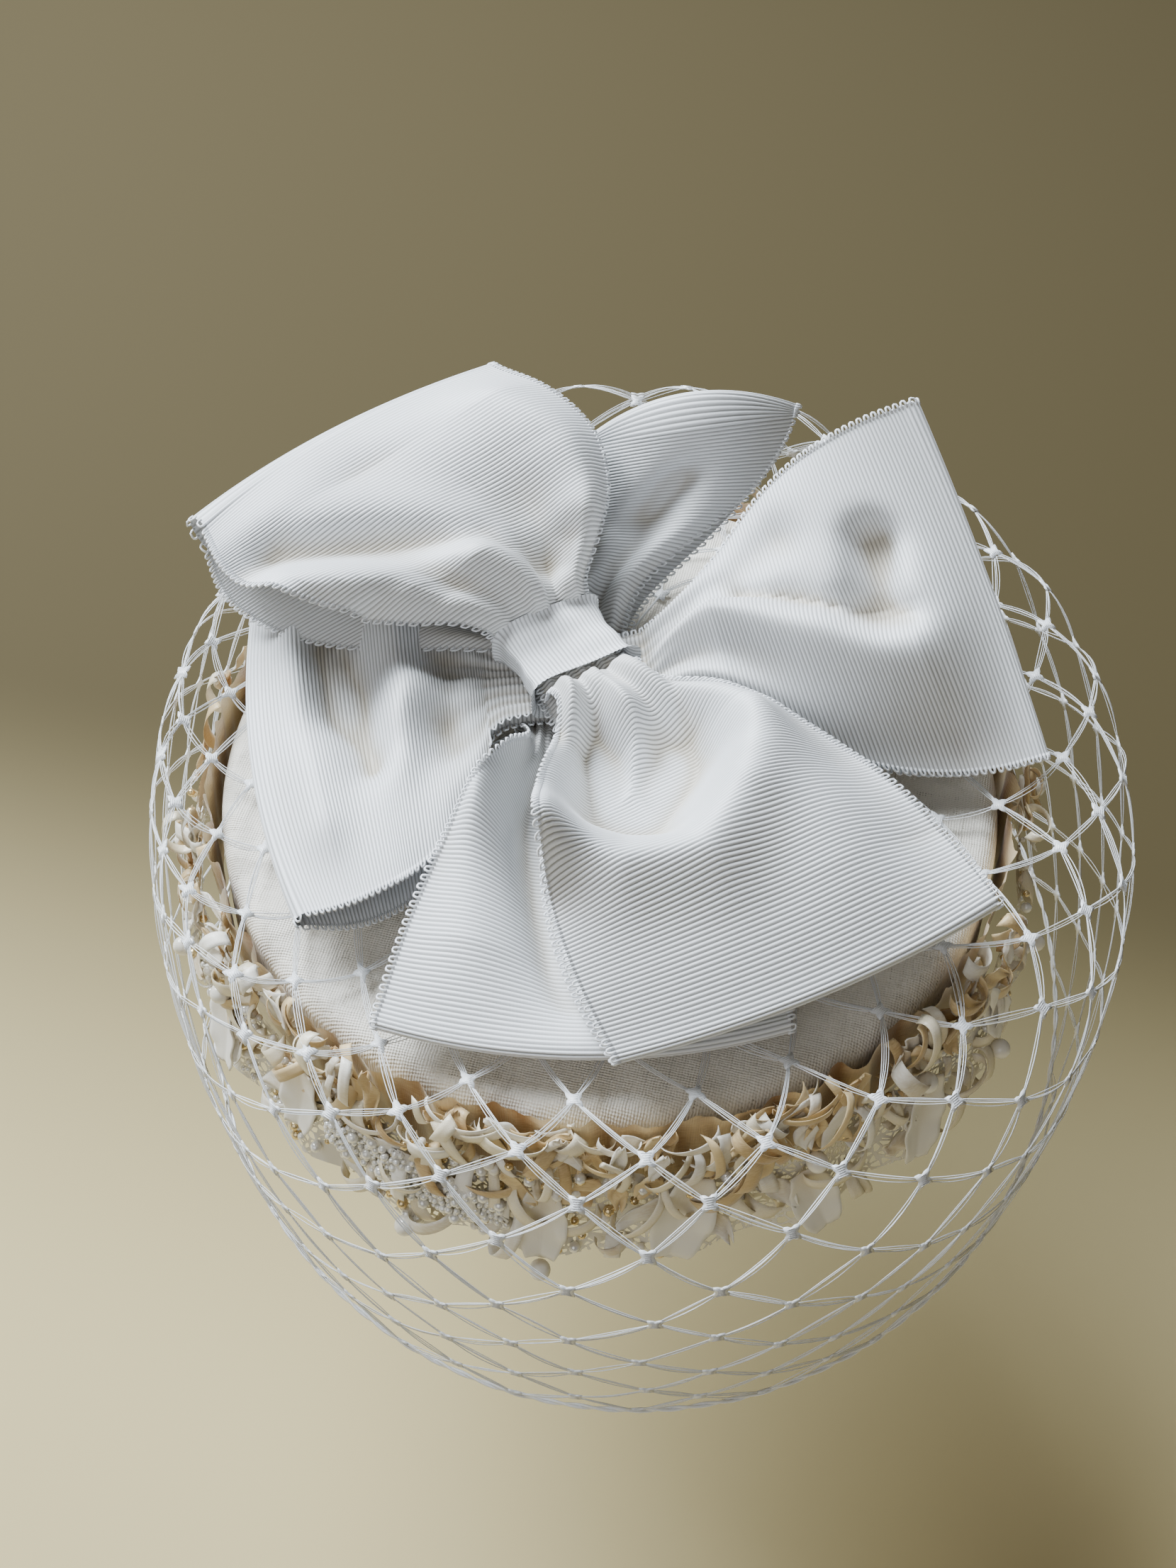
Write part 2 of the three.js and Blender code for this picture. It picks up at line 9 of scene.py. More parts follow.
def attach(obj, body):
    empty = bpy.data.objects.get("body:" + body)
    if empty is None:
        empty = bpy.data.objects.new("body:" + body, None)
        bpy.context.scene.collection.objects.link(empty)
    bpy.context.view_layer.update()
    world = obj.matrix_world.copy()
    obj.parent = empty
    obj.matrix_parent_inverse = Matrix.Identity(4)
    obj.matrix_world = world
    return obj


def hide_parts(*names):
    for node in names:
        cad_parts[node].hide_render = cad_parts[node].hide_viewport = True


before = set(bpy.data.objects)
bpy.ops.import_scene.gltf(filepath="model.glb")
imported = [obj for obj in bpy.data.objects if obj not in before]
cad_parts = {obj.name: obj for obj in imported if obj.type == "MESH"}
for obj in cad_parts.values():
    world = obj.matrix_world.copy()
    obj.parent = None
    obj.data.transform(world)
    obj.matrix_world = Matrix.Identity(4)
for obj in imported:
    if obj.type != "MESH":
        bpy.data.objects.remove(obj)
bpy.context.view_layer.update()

mm = 0.001
tau = 2 * math.pi

# sizes in millimetres, the same as the hat's own construction
hat = {
    "height": 40.0, "topRadius": 81.0, "rimRadius": 83.5, "wall": 2.5, "edgeRadius": 4.5,
    "seat": 0.35, "hub": 1.2,
}
bow = {
    "width": 75.0, "wall": 1.1, "foldRadius": 1.25, "waistShare": 0.25, "stackRoom": 0.7,
    "tierRoom": 1.0, "knotX": -9.0, "knotY": 14.0, "knotLength": 17.0, "knotWall": 1.2,
    "ribPitch": 0.89, "ribHeight": 0.26, "ribSamples": 4, "columns": 36, "fineColumns": 50,
    "gatherPitch": 0.3, "gatherReach": 24.0, "neck": 3.6, "neckRise": 2.2, "neckReach": 12.0,
    "lowest": -0.9,
}
bow["held"] = bow["knotLength"] / 2 + 0.5
# painted shade: how strongly the ribbon's colour is warmed and darkened near the knot and in its
# hollows, and over what reach and depth
shade = {"knot": 0.45, "knotReach": 34.0, "hollow": 0.9, "hollowReach": 6.0, "hollowDepth": 1.6}


def smooth(s):
    return s * s * (3 - 2 * s)


def toward(degrees):
    angle = math.radians(degrees)
    return np.array([math.cos(angle), math.sin(angle), 0.0])


def unit(v):
    return v / np.maximum(np.linalg.norm(v, axis=-1, keepdims=True), 1e-9)


def onCircle(radius, angle, z):
    radius, angle, z = np.broadcast_arrays(radius, angle, z)
    return np.stack([radius * np.cos(angle), radius * np.sin(angle), z], -1)


# a table whose column names are given once
def table(names, *rows):
    return [dict(zip(names.split(), row)) for row in rows]


# a smooth curve through one column of a table, read at any places between 0 and 1
def column(rows, name, place):
    at = np.array([row["at"] for row in rows])
    value = np.array([row[name] for row in rows])
    u = np.clip(np.asarray(place, float), 0, 1)
    i = np.clip(np.searchsorted(at, u, side="right") - 1, 0, len(at) - 2)

    def slope(k):
        low, high = np.maximum(k - 1, 0), np.minimum(k + 1, len(at) - 1)
        return (value[high] - value[low]) / (at[high] - at[low])

    span = at[i + 1] - at[i]
    v = (u - at[i]) / span
    start = value[i] * (2 * v**3 - 3 * v**2 + 1) + slope(i) * span * (v**3 - 2 * v**2 + v)
    end = value[i + 1] * (3 * v**2 - 2 * v**3) + slope(i + 1) * span * (v**3 - v**2)
    return start + end


def gridNormals(points, ring=False):
    if ring:
        du = np.roll(points, -1, axis=0) - np.roll(points, 1, axis=0)
    else:
        du = np.gradient(points, axis=0)
    return unit(np.cross(du, np.gradient(points, axis=1)))


# a mesh from points in mm, with its flat cloth place, its depth of tone (painted shade on the
# ribbon and the ruffle) and its ribs where given (also the mask of the ribbon's painted groove
# shade)
def addMesh(name, points, faces, material, uvs=None, tones=None, ribs=None):
    mesh = bpy.data.meshes.new(name)
    mesh.from_pydata((np.asarray(points).reshape(-1, 3) * mm).tolist(), [], faces)
    mesh.materials.append(material)
    if uvs is not None:
        layer = mesh.uv_layers.new(name="cloth")
        corner = np.empty(len(mesh.loops), np.int32)
        mesh.loops.foreach_get("vertex_index", corner)
        layer.data.foreach_set("uv", np.asarray(uvs, np.float32).reshape(-1, 2)[corner].ravel())
    for layerName, values in (("tone", tones), ("rib", ribs)):
        if values is not None:
            layer = mesh.attributes.new(layerName, "FLOAT", "POINT")
            layer.data.foreach_set("value", np.asarray(values, np.float32).ravel())
    mesh.polygons.foreach_set("use_smooth", [True] * len(mesh.polygons))
    mesh.update()
    obj = bpy.data.objects.new(name, mesh)
    bpy.context.scene.collection.objects.link(obj)
    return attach(obj, "root")


def gridFaces(rows, columns, ring=False):
    last = rows if ring else rows - 1
    i, j = np.meshgrid(np.arange(last), np.arange(columns - 1), indexing="ij")
    a, b = i * columns + j, (i + 1) % rows * columns + j
    return np.stack([a, b, b + 1, a + 1], -1).reshape(-1, 4).tolist()


# round threads along many paths at once: paths, side and normal are arrays of n by k points
def tubes(paths, side, normal, radius, sides=3):
    n, k = paths.shape[:2]
    turn = np.arange(sides) / sides * tau + tau / 4
    around = (np.cos(turn)[:, None] * side[:, :, None, :]
              + np.sin(turn)[:, None] * normal[:, :, None, :])
    points = (paths[:, :, None, :] + radius * around).reshape(-1, 3)
    a, b, c = np.meshgrid(np.arange(n), np.arange(k - 1), np.arange(sides), indexing="ij")
    base, d = a * k * sides + b * sides, (c + 1) % sides
    quad = np.stack([base + c, base + d, base + sides + d, base + sides + c], -1).reshape(-1, 4)
    first = np.arange(n)[:, None] * k * sides + np.arange(sides)
    last = first + (k - 1) * sides
    return points, quad.tolist() + first[:, ::-1].tolist() + last.tolist()


def joined(parts):
    points, faces, start = [], [], 0
    for some, theirs in parts:
        some = np.asarray(some).reshape(-1, 3)
        points.append(some)
        faces += [[corner + start for corner in face] for face in theirs]
        start += len(some)
    return np.concatenate(points), faces


# a round ball as points and faces, to be copied about
def ballShape(rings, around):
    lift = np.linspace(-1, 1, rings + 1)[1:-1] * tau / 4
    turn = np.arange(around) / around * tau
    body = np.stack([np.cos(lift)[:, None] * np.cos(turn), np.cos(lift)[:, None] * np.sin(turn),
                     np.sin(lift)[:, None] * np.ones(around)], -1).reshape(-1, 3)
    points = np.concatenate([body, [[0, 0, -1], [0, 0, 1]]])
    south, north = len(body), len(body) + 1
    faces = []
    for j in range(around):
        k = (j + 1) % around
        faces.append([south, k, j])
        faces.append([north, (rings - 2) * around + j, (rings - 2) * around + k])
        for i in range(rings - 2):
            low, high = i * around, (i + 1) * around
            faces.append([low + j, low + k, high + k, high + j])
    return points, faces


def newMaterial(name, colour, roughness, **more):
    material = bpy.data.materials.new(name)
    material.use_nodes = True
    shader = shaderOf(material)
    shader.inputs["Base Color"].default_value = (*colour, 1)
    shader.inputs["Roughness"].default_value = roughness
    for socket, value in more.items():
        shader.inputs[socket.replace("_", " ")].default_value = value
    material.diffuse_color = (*colour, 1)
    return material


def shaderOf(material):
    return material.node_tree.nodes["Principled BSDF"]


def node(material, kind, **settings):
    made = material.node_tree.nodes.new("ShaderNode" + kind)
    for key, value in settings.items():
        if key in made.inputs:
            made.inputs[key].default_value = value
        else:
            setattr(made, key, value)
    return made


def link(material, start, end):
    material.node_tree.links.new(start, end)


# gives an input a number, a colour or another node's socket
def feed(material, value, end):
    if isinstance(value, bpy.types.NodeSocket):
        link(material, value, end)
    else:
        end.default_value = (*value, 1) if isinstance(value, tuple) else value


# a place in the flat cloth, and a value laid in the mesh under a name
def clothPlace(material):
    return node(material, "UVMap", uv_map="cloth").outputs["UV"]


def painted(material, name):
    return node(material, "Attribute", attribute_name=name).outputs["Fac"]


def mapped(material, place, **settings):
    made = node(material, "Mapping", **settings)
    link(material, place, made.inputs["Vector"])
    return made.outputs["Vector"]


def texture(material, kind, place=None, **settings):
    made = node(material, "Tex" + kind, **settings)
    if place is not None:
        link(material, place, made.inputs["Vector"])
    return made.outputs["Distance" if kind == "Voronoi" else "Fac"]


def calc(material, operation, *values):
    made = node(material, "Math", operation=operation)
    for k, value in enumerate(values):
        feed(material, value, made.inputs[k])
    return made.outputs["Value"]


def mixed(material, share, low, high, **settings):
    made = node(material, "Mix", data_type="RGBA", **settings)
    for value, socket in ((share, 0), (low, 6), (high, 7)):
        feed(material, value, made.inputs[socket])
    return made.outputs[2]


# the surface's colour, between two tones as the mask goes from 0 to 1
def tint(material, mask, low, high):
    link(material, mixed(material, mask, low, high), shaderOf(material).inputs["Base Color"])


# bumps laid over one another, each with its height, strength and depth in metres
def relief(material, *layers):
    below = None
    for height, strength, depth in layers:
        made = node(material, "Bump", Strength=strength, Distance=depth)
        link(material, height, made.inputs["Height"])
        if below is not None:
            link(material, below, made.inputs["Normal"])
        below = made.outputs["Normal"]
    link(material, below, shaderOf(material).inputs["Normal"])


def ramp(material, value, *stops):
    made = node(material, "ValToRGB")
    for each, (place, grey) in zip(made.color_ramp.elements, stops):
        each.position = place
        each.color = (grey, grey, grey, 1)
    link(material, value, made.inputs["Fac"])
    return made.outputs["Color"]


def makeGrosgrain():
    made = newMaterial("whiteGrosgrain", (0.80, 0.805, 0.81), 0.40, Sheen_Weight=0.2,
                       Sheen_Roughness=0.4, Specular_IOR_Level=0.6)
    cloth = clothPlace(made)
    warp = texture(made, "Wave", cloth, bands_direction="X", Scale=1180, Distortion=0.8, Detail=1)
    fibres = texture(made, "Noise", cloth, Scale=1400, Detail=3)
    relief(made, (warp, 0.35, 0.00005), (fibres, 0.25, 0.00006))
    # painted shade: the grooves between the ribs are coloured dark grey and the rib crests near
    # white
    grooveShaded = mixed(made, painted(made, "rib"), (0.36, 0.36, 0.355), (0.90, 0.915, 0.94))
    # painted shade: the colour is multiplied towards a warm tan where the tone is high, near the
    # knot and in the ribbon's hollows
    hollowShaded = mixed(made, painted(made, "tone"), grooveShaded, (0.70, 0.62, 0.49), blend_type="MULTIPLY")
    link(made, hollowShaded, shaderOf(made).inputs["Base Color"])
    return made


def makeLinen():
    made = newMaterial("naturalLinen", (0.62, 0.60, 0.56), 0.85, Sheen_Weight=0.2,
                       Sheen_Roughness=0.6)
    place = node(made, "TexCoord").outputs["Object"]
    turned = mapped(made, place, Rotation=(0, 0, math.radians(14)))
    weft = texture(made, "Wave", turned, bands_direction="X", Scale=560, Distortion=2.2, Detail=2)
    warp = texture(made, "Wave", turned, bands_direction="Y", Scale=620, Distortion=2.2, Detail=2)
    slubs = [texture(made, "Noise", mapped(made, turned, Scale=stretch), Scale=420, Detail=4,
                     Roughness=0.6) for stretch in ((0.12, 1.6, 1), (1.6, 0.12, 1))]
    crumple = texture(made, "Noise", turned, Scale=42, Detail=3, Roughness=0.5)
    weave = calc(made, "ADD", weft, warp)
    threads = calc(made, "ADD", *slubs)
    relief(made, (crumple, 0.8, 0.005), (threads, 0.5, 0.0004), (weave, 0.6, 0.00018))
    mask = calc(made, "MULTIPLY_ADD", weave, 0.28, threads)
    tint(made, ramp(made, mask, (0.75, 0), (1, 1)), (0.27, 0.23, 0.165), (0.78, 0.735, 0.65))
    return made


def makeOrganza():
    made = newMaterial("amberOrganza", (0.5, 0.36, 0.16), 0.42, Sheen_Weight=0.4,
                       Sheen_Roughness=0.35, Transmission_Weight=0.12)
    cloud = texture(made, "Noise", Scale=90, Detail=3)
    # the amber is deep where the tone laid in the mesh is low and wanders in small clouds; on the
    # ruffle the tone is painted shade in its wave hollows and low down
    mask = calc(made, "MULTIPLY_ADD", cloud, 0.5, painted(made, "tone"))
    tint(made, ramp(made, mask, (0.3, 0), (0.95, 1)), (0.27, 0.12, 0.025), (0.80, 0.62, 0.34))
    threads = texture(made, "Wave", clothPlace(made), bands_direction="X", Scale=700,
                      Distortion=1)
    relief(made, (threads, 0.3, 0.0001))
    return made


# lace: threads round small cells, with close round flowers, and open between them
def makeLace():
    made = newMaterial("offWhiteLace", (0.76, 0.73, 0.66), 0.7, Sheen_Weight=0.2)
    cloth = clothPlace(made)
    cells = texture(made, "Voronoi", cloth, Scale=520, feature="DISTANCE_TO_EDGE")
    flowers = texture(made, "Voronoi", cloth, Scale=85, feature="F1")
    solid = calc(made, "MAXIMUM", ramp(made, flowers, (0.36, 1), (0.42, 0)),
                 ramp(made, cells, (0.10, 1), (0.15, 0)))
    link(made, solid, shaderOf(made).inputs["Alpha"])
    fine = texture(made, "Noise", Scale=700, Detail=2)
    relief(made, (solid, 0.6, 0.0004), (fine, 0.4, 0.0002))
    tint(made, fine, (0.68, 0.63, 0.53), (0.84, 0.81, 0.74))
    return made


def makePetalCloth(name, deep, pale):
    made = newMaterial(name, pale, 0.38, Sheen_Weight=0.4, Sheen_Roughness=0.3)
    cloud = texture(made, "Noise", Scale=160, Detail=4)
    mask = calc(made, "MULTIPLY_ADD", cloud, 0.6, painted(made, "tone"))
    tint(made, ramp(made, mask, (0.25, 0), (0.85, 1)), deep, pale)
    relief(made, (texture(made, "Noise", Scale=520, Detail=2), 0.3, 0.0002))
    return made


# a finish whose colour wanders in small clouds between two tones, with a grain if one is given
def makeClouded(name, colour, roughness, scale, detail, low, high, grain=None, **more):
    made = newMaterial(name, colour, roughness, **more)
    cloud = texture(made, "Noise", Scale=scale, Detail=detail)
    tint(made, cloud, low, high)
    if grain is not None:
        relief(made, (cloud, *grain))
    return made


grosgrain = makeGrosgrain()
linen = makeLinen()
organza = makeOrganza()
lace = makeLace()
creamCloth = makePetalCloth("creamPetalCloth", (0.55, 0.42, 0.24), (0.84, 0.80, 0.71))
tanCloth = makePetalCloth("tanPetalCloth", (0.30, 0.15, 0.035), (0.66, 0.50, 0.27))
straw = makeClouded("paleStraw", (0.78, 0.70, 0.52), 0.3, 500, 3, (0.66, 0.55, 0.34),
                    (0.88, 0.82, 0.68), grain=(0.4, 0.0002), Coat_Weight=0.3, Coat_Roughness=0.2)
pearl = makeClouded("creamPearl", (0.80, 0.75, 0.65), 0.22, 240, 2, (0.74, 0.68, 0.56),
                    (0.88, 0.85, 0.78), Coat_Weight=0.6, Coat_Roughness=0.08, Sheen_Weight=0.2)
crystal = makeClouded("crystalBead", (0.90, 0.89, 0.86), 0.12, 300, 1, (0.78, 0.76, 0.70),
                      (0.99, 0.98, 0.96), Metallic=0.25, Transmission_Weight=0.1, Coat_Weight=0.8)
gold = makeClouded("paleGoldBead", (0.72, 0.55, 0.28), 0.25, 300, 1, (0.60, 0.42, 0.18),
                   (0.85, 0.72, 0.45), Metallic=0.8)
netting = makeClouded("whiteNetting", (0.86, 0.87, 0.88), 0.35, 700, 2, (0.80, 0.81, 0.83),
                      (0.93, 0.94, 0.95), Transmission_Weight=0.15, Coat_Weight=0.2)
print("materials made")

# how a loop opens from the knot at 0 to its fold at 1
loopSections = table(
    "at spread lift pleat tie",
    (0.00, 0.00, 0.06, 0.25, 1.00),
    (0.10, 0.05, 0.45, 0.80, 0.80),
    (0.22, 0.28, 0.74, 1.00, 0.45),
    (0.36, 0.56, 0.86, 0.70, 0.25),
    (0.52, 0.78, 1.00, 0.35, 0.20),
    (0.68, 0.91, 0.88, 0.10, 0.15),
    (0.84, 0.98, 0.52, 0.00, 0.10),
    (1.00, 1.00, 0.00, 0.00, 0.00),
)
# lengths are shares: reach of the crown's top radius, rise of its height, held of the knot's
# length, and bow, crest, belly, pleat and curl of the ribbon's width
plainLoop = {
    "fine": False, "held": 1, "climb": 1, "bank": 0, "flare": 1, "lean": 0, "pitch": 0.8,
    "phase": 0.1, "width": 1, "curl": 0, "gather": 0.6, "puff": 1,
}
loopShares = [
    {"node": "loop_front", "piece": "bowFront", "fine": True, "tier": 3, "held": 0.53, "waist": -60,
     "heading": -60, "reach": 1.08, "rise": 0.45, "yaw": -8, "bank": 5, "bow": 0.04, "crest": 0.173,
     "belly": 0.008, "pleat": 0.04, "pitch": 0.7, "phase": -0.05, "gather": 0.3, "puff": 0.6},
    {"node": "loop_back_left", "piece": "bowBackLeft", "tier": 3, "held": 0.53, "waist": 120,
     "heading": 137, "reach": 0.778, "rise": 0.925, "yaw": -10, "bank": -3, "flare": 0.9,
     "bow": 0.053, "crest": 0.173, "belly": 0.013, "pleat": 0.035, "gather": 0.4, "puff": 3.4},
    {"node": "loop_right", "piece": "bowRight", "tier": 2, "waist": 6, "heading": 4.5,
     "reach": 1.02, "rise": 0.85, "climb": 1.5, "yaw": 20, "bank": 34, "flare": 1.5, "bow": 0.013,
     "crest": 0.133, "belly": 0.02, "lean": -0.3, "pleat": 0.032, "phase": 0, "gather": 0.7},
    {"node": "loop_left", "piece": "bowLeft", "tier": 2, "waist": 186, "heading": 202,
     "reach": 0.765, "rise": 0.325, "climb": 0.9, "yaw": -9, "bank": -2, "bow": 0.053,
     "crest": 0.08, "belly": 0.003, "lean": -0.5, "pleat": 0.027},
    {"node": "loop_front_left", "piece": "bowFrontLeft", "fine": True, "tier": 1, "held": 0.5,
     "waist": -96, "heading": -87.5, "reach": 0.988, "rise": 0.225, "yaw": -3, "flare": 1.15,
     "bow": 0.08, "crest": 0.047, "belly": 0.005, "lean": 0.6, "pleat": 0.019, "phase": -0.4,
     "puff": 0.3},
    {"node": "loop_back", "piece": "bowBack", "tier": 1, "held": 0.94, "waist": 84, "heading": 63,
     "reach": 0.74, "rise": 0.84, "climb": 2.5, "yaw": 25, "bank": -12, "flare": 2.2, "bow": 0.027,
     "crest": 0.08, "belly": 0.013, "lean": 0.7, "pleat": 0.021, "width": 0.6, "curl": 0.187,
     "puff": 0.5},
]
loops = []
for row in loopShares:
    loop = dict(plainLoop, **row)
    loop["held"] *= bow["knotLength"]
    loop["reach"] *= hat["topRadius"]
    loop["rise"] *= hat["height"]
    for size in ("bow", "crest", "belly", "pleat", "curl"):
        loop[size] *= bow["width"]
    loops.append(loop)

# soft dents and swells of the crests: middle along and across, half sizes, depth as shares
loopDents = {
    "loop_front": [(0.33, -0.08, 0.17, 0.36, -0.65), (0.60, 0.50, 0.30, 0.30, 0.20)],
    "loop_back_left": [(0.30, 0.30, 0.20, 0.25, 0.45), (0.22, 0.62, 0.10, 0.16, -0.3)],
    "loop_right": [(0.52, 0.15, 0.12, 0.22, -0.45)],
    "loop_left": [(0.60, -0.10, 0.30, 0.22, -0.60)],
    "loop_front_left": [(0.50, 0.10, 0.35, 0.24, -0.5)],
    "loop_back": [(0.55, -0.20, 0.16, 0.30, -0.60)],
}
# folds and ridges of the upper layers: half width and height in mm, power (a low one is sharp), and
# the line that each follows, in shares of the reach and of the half width
bowFolds = {
    "loop_front": [
        (2.6, -6.5, 1.3, [(0.05, 0.24), (0.17, -0.02), (0.30, -0.38)]),
        (3.4, -6.5, 1.4, [(0.04, 0.76), (0.18, 0.60), (0.36, 0.42)]),
        (3.4, 3.0, 2, [(0.05, 0.48), (0.16, 0.30), (0.26, 0.08)]),
        (6.5, 4.6, 1.8, [(0.04, 1.00), (0.20, 0.92), (0.42, 0.72), (0.54, 0.40)]),
        (7.0, 5.5, 1.7, [(0.56, -0.96), (0.67, -0.62), (0.71, -0.18), (0.62, 0.22)]),
        (6.0, 12.0, 2.2, [(0.10, -0.50), (0.22, -0.98), (0.56, -1.04)]),
        (7.5, -11.0, 1.8, [(0.30, -0.48), (0.46, -0.56), (0.54, -0.20), (0.42, 0.18)]),
        (12.0, -4.0, 2, [(0.62, 0.98), (0.90, 0.98)]),
    ],
    "loop_front_left": [
        (9.0, 7.0, 2, [(0.16, -0.72), (0.50, -0.70)]),
        (12.0, 4.0, 2, [(0.50, -0.64), (0.92, -0.60)]),
        (4.5, -9.0, 1.2, [(0.18, -0.16), (0.45, -0.22), (0.70, -0.12), (0.88, -0.04)]),
        (6.0, 3.0, 2, [(0.30, 0.22), (0.60, 0.24), (0.90, 0.30)]),
    ],
    "loop_left": [
        (4.5, -9.0, 1.6, [(0.76, -0.66), (0.71, -0.10), (0.66, 0.40)]),
        (6.0, 5.5, 1.8, [(0.56, -0.60), (0.55, 0.10), (0.60, 0.50)]),
        (5.0, -5.0, 1.8, [(0.34, -0.45), (0.40, 0.30)]),
        (7.0, 4.5, 2, [(0.90, -0.80), (0.90, 0.60)]),
    ],
    "loop_back_left": [
        (6.0, 8.0, 1.7, [(0.56, 1.05), (0.44, 0.76), (0.32, 0.46), (0.14, 0.26)]),
        (5.0, -6.0, 1.7, [(0.72, 0.86), (0.56, 0.52), (0.42, 0.16), (0.28, -0.06)]),
        (3.0, -6.0, 1.5, [(0.18, 0.95), (0.26, 0.82), (0.34, 0.86)]),
        (3.5, -5.0, 2, [(0.27, -0.36), (0.31, -0.48)]),
        (9.0, 5.0, 1.8, [(0.30, -0.80), (0.60, -0.80), (0.85, -0.75)]),
        (11.0, -3.5, 2, [(0.60, 0.05), (0.82, 0.15)]),
    ],
    "loop_back": [
        (5.0, -7.0, 2, [(0.78, -0.02), (0.84, -0.06)]),
        (4.0, 2.5, 2, [(0.45, 0.10), (0.70, 0.45)]),
    ],
    "loop_right": [
        (15.0, 9.5, 1.5, [(0.26, 0.06), (0.55, -0.06), (0.90, -0.16)]),
        (2.2, -5.0, 1.2, [(0.48, 0.24), (0.58, 0.17), (0.68, 0.06)]),
        (4.0, -6.0, 1.5, [(0.73, 0.00), (0.84, -0.08)]),
        (5.0, -9.0, 2.2, [(0.78, 0.00), (0.82, 0.36)]),
        (11.0, -5.0, 2, [(0.30, -0.95), (0.70, -0.98), (0.95, -0.95)]),
        (6.0, -3.5, 2, [(0.30, 0.40), (0.60, 0.55)]),
    ],
}
# the width that a fold's line is measured in, as a share of the ribbon's, along the reach
foldRoom = {"at": [0, 0.2, 0.4, 1], "share": [0.3, 0.45, 0.75, 1]}
# a loop's long edge on one side (-1 or 1): how far it bulges or draws in, how much higher it lies,
# and how early along the loop it does so
plainFlank = {"side": 1, "wider": 0.0, "higher": 0.0, "early": 0.7}
bowFlanks = {
    "loop_left": {"side": 1, "wider": 14.0, "higher": -2.0, "early": 0.48},
    "loop_front_left": {"side": -1, "wider": -10.0, "higher": 6.0, "early": 0.9},
    "loop_back_left": {"side": 1, "wider": 13.0, "higher": -5.0, "early": 0.7},
}


# height of a pair's waist: each pair lies on the one below, the top pair inside the knot band
def waistLevel(tier):
    halfStack = bow["foldRadius"] + bow["wall"] / 2 + bow["stackRoom"]
    band = bow["knotWall"] + 1.5 * hat["seat"] if tier == 3 else 0
    hubTop = hat["height"] + hat["seat"] + hat["hub"]
    below = (tier - 1) * (2 * halfStack + bow["tierRoom"])
    return hubTop + hat["seat"] + halfStack + below + band


# how far out a place is on a loop, from 0 where it is held to 1 at the fold
def heldShare(loop, held, s):
    return np.clip((s * loop["reach"] - held) / (loop["reach"] - held), 0, 1)


def loopSpine(loop, s):
    level = waistLevel(loop["tier"])
    free = heldShare(loop, bow["held"], s)
    turned = smooth(free)[:, None]
    out = unit(toward(loop["waist"]) * (1 - turned) + toward(loop["heading"]) * turned)
    out = out * (loop["reach"] * s)[:, None]
    out = out + toward(loop["waist"]) * (hat["seat"] / 2 * (1 - s))[:, None]
    z = level + (hat["height"] + loop["rise"] - level) * free ** loop["climb"]
    return out + np.stack([0 * z + bow["knotX"], 0 * z + bow["knotY"], z], -1)


# how far places in the flat are from a line of corners
def lineDistance(place, line):
    best = np.full(place.shape[:2], 1e9)
    for a, b in zip(line, line[1:]):
        run = b - a
        share = np.clip(((place - a) @ run) / (run @ run), 0, 1)
        best = np.minimum(best, np.linalg.norm(place - a - share[..., None] * run, axis=-1))
    return best


# keeps a value above a lowest one, with a soft bend instead of a corner
def softFloor(value, lowest):
    return lowest + 0.5 * (value - lowest + np.sqrt((value - lowest) ** 2 + 0.6))


# adds the upper layer's dents and folds, and the neck where the top pair leaves the knot
def addFolds(loop, crest, s, t, free, half):
    out = s * loop["reach"]
    ends = np.minimum(np.minimum(1, free * 4), (1 - free) * 5)[:, None]
    for at, middle, long, wide, deep in loopDents[loop["node"]]:
        far = ((free - at) / long)[:, None] ** 2 + ((t - middle) / wide) ** 2
        crest = crest + loop["crest"] * deep * np.exp(-far) * ends
    flatPlace = np.stack(np.broadcast_arrays(out[:, None], half[:, None] * t), -1)
    for wide, deep, power, corners in bowFolds[loop["node"]]:
        line = np.array(corners)
        room = np.interp(line[:, 0], foldRoom["at"], foldRoom["share"]) * bow["width"] / 2
        line = np.stack([line[:, 0] * loop["reach"], line[:, 1] * room], -1)
        far = np.sqrt(lineDistance(flatPlace, line) ** 2 + 0.15)
        crest = crest + deep * np.exp(-((far / wide) ** power)) * ends
    if loop["tier"] == 3:
        beyond = out - bow["knotLength"] / 2 - 0.4
        fall = np.exp(-(((beyond - 2) / bow["neckReach"]) ** 2))
        neck = smooth(np.clip(beyond / bow["neckRise"], 0, 1)) * fall
        crest = crest + bow["neck"] * neck[:, None]
    return softFloor(crest, bow["lowest"])


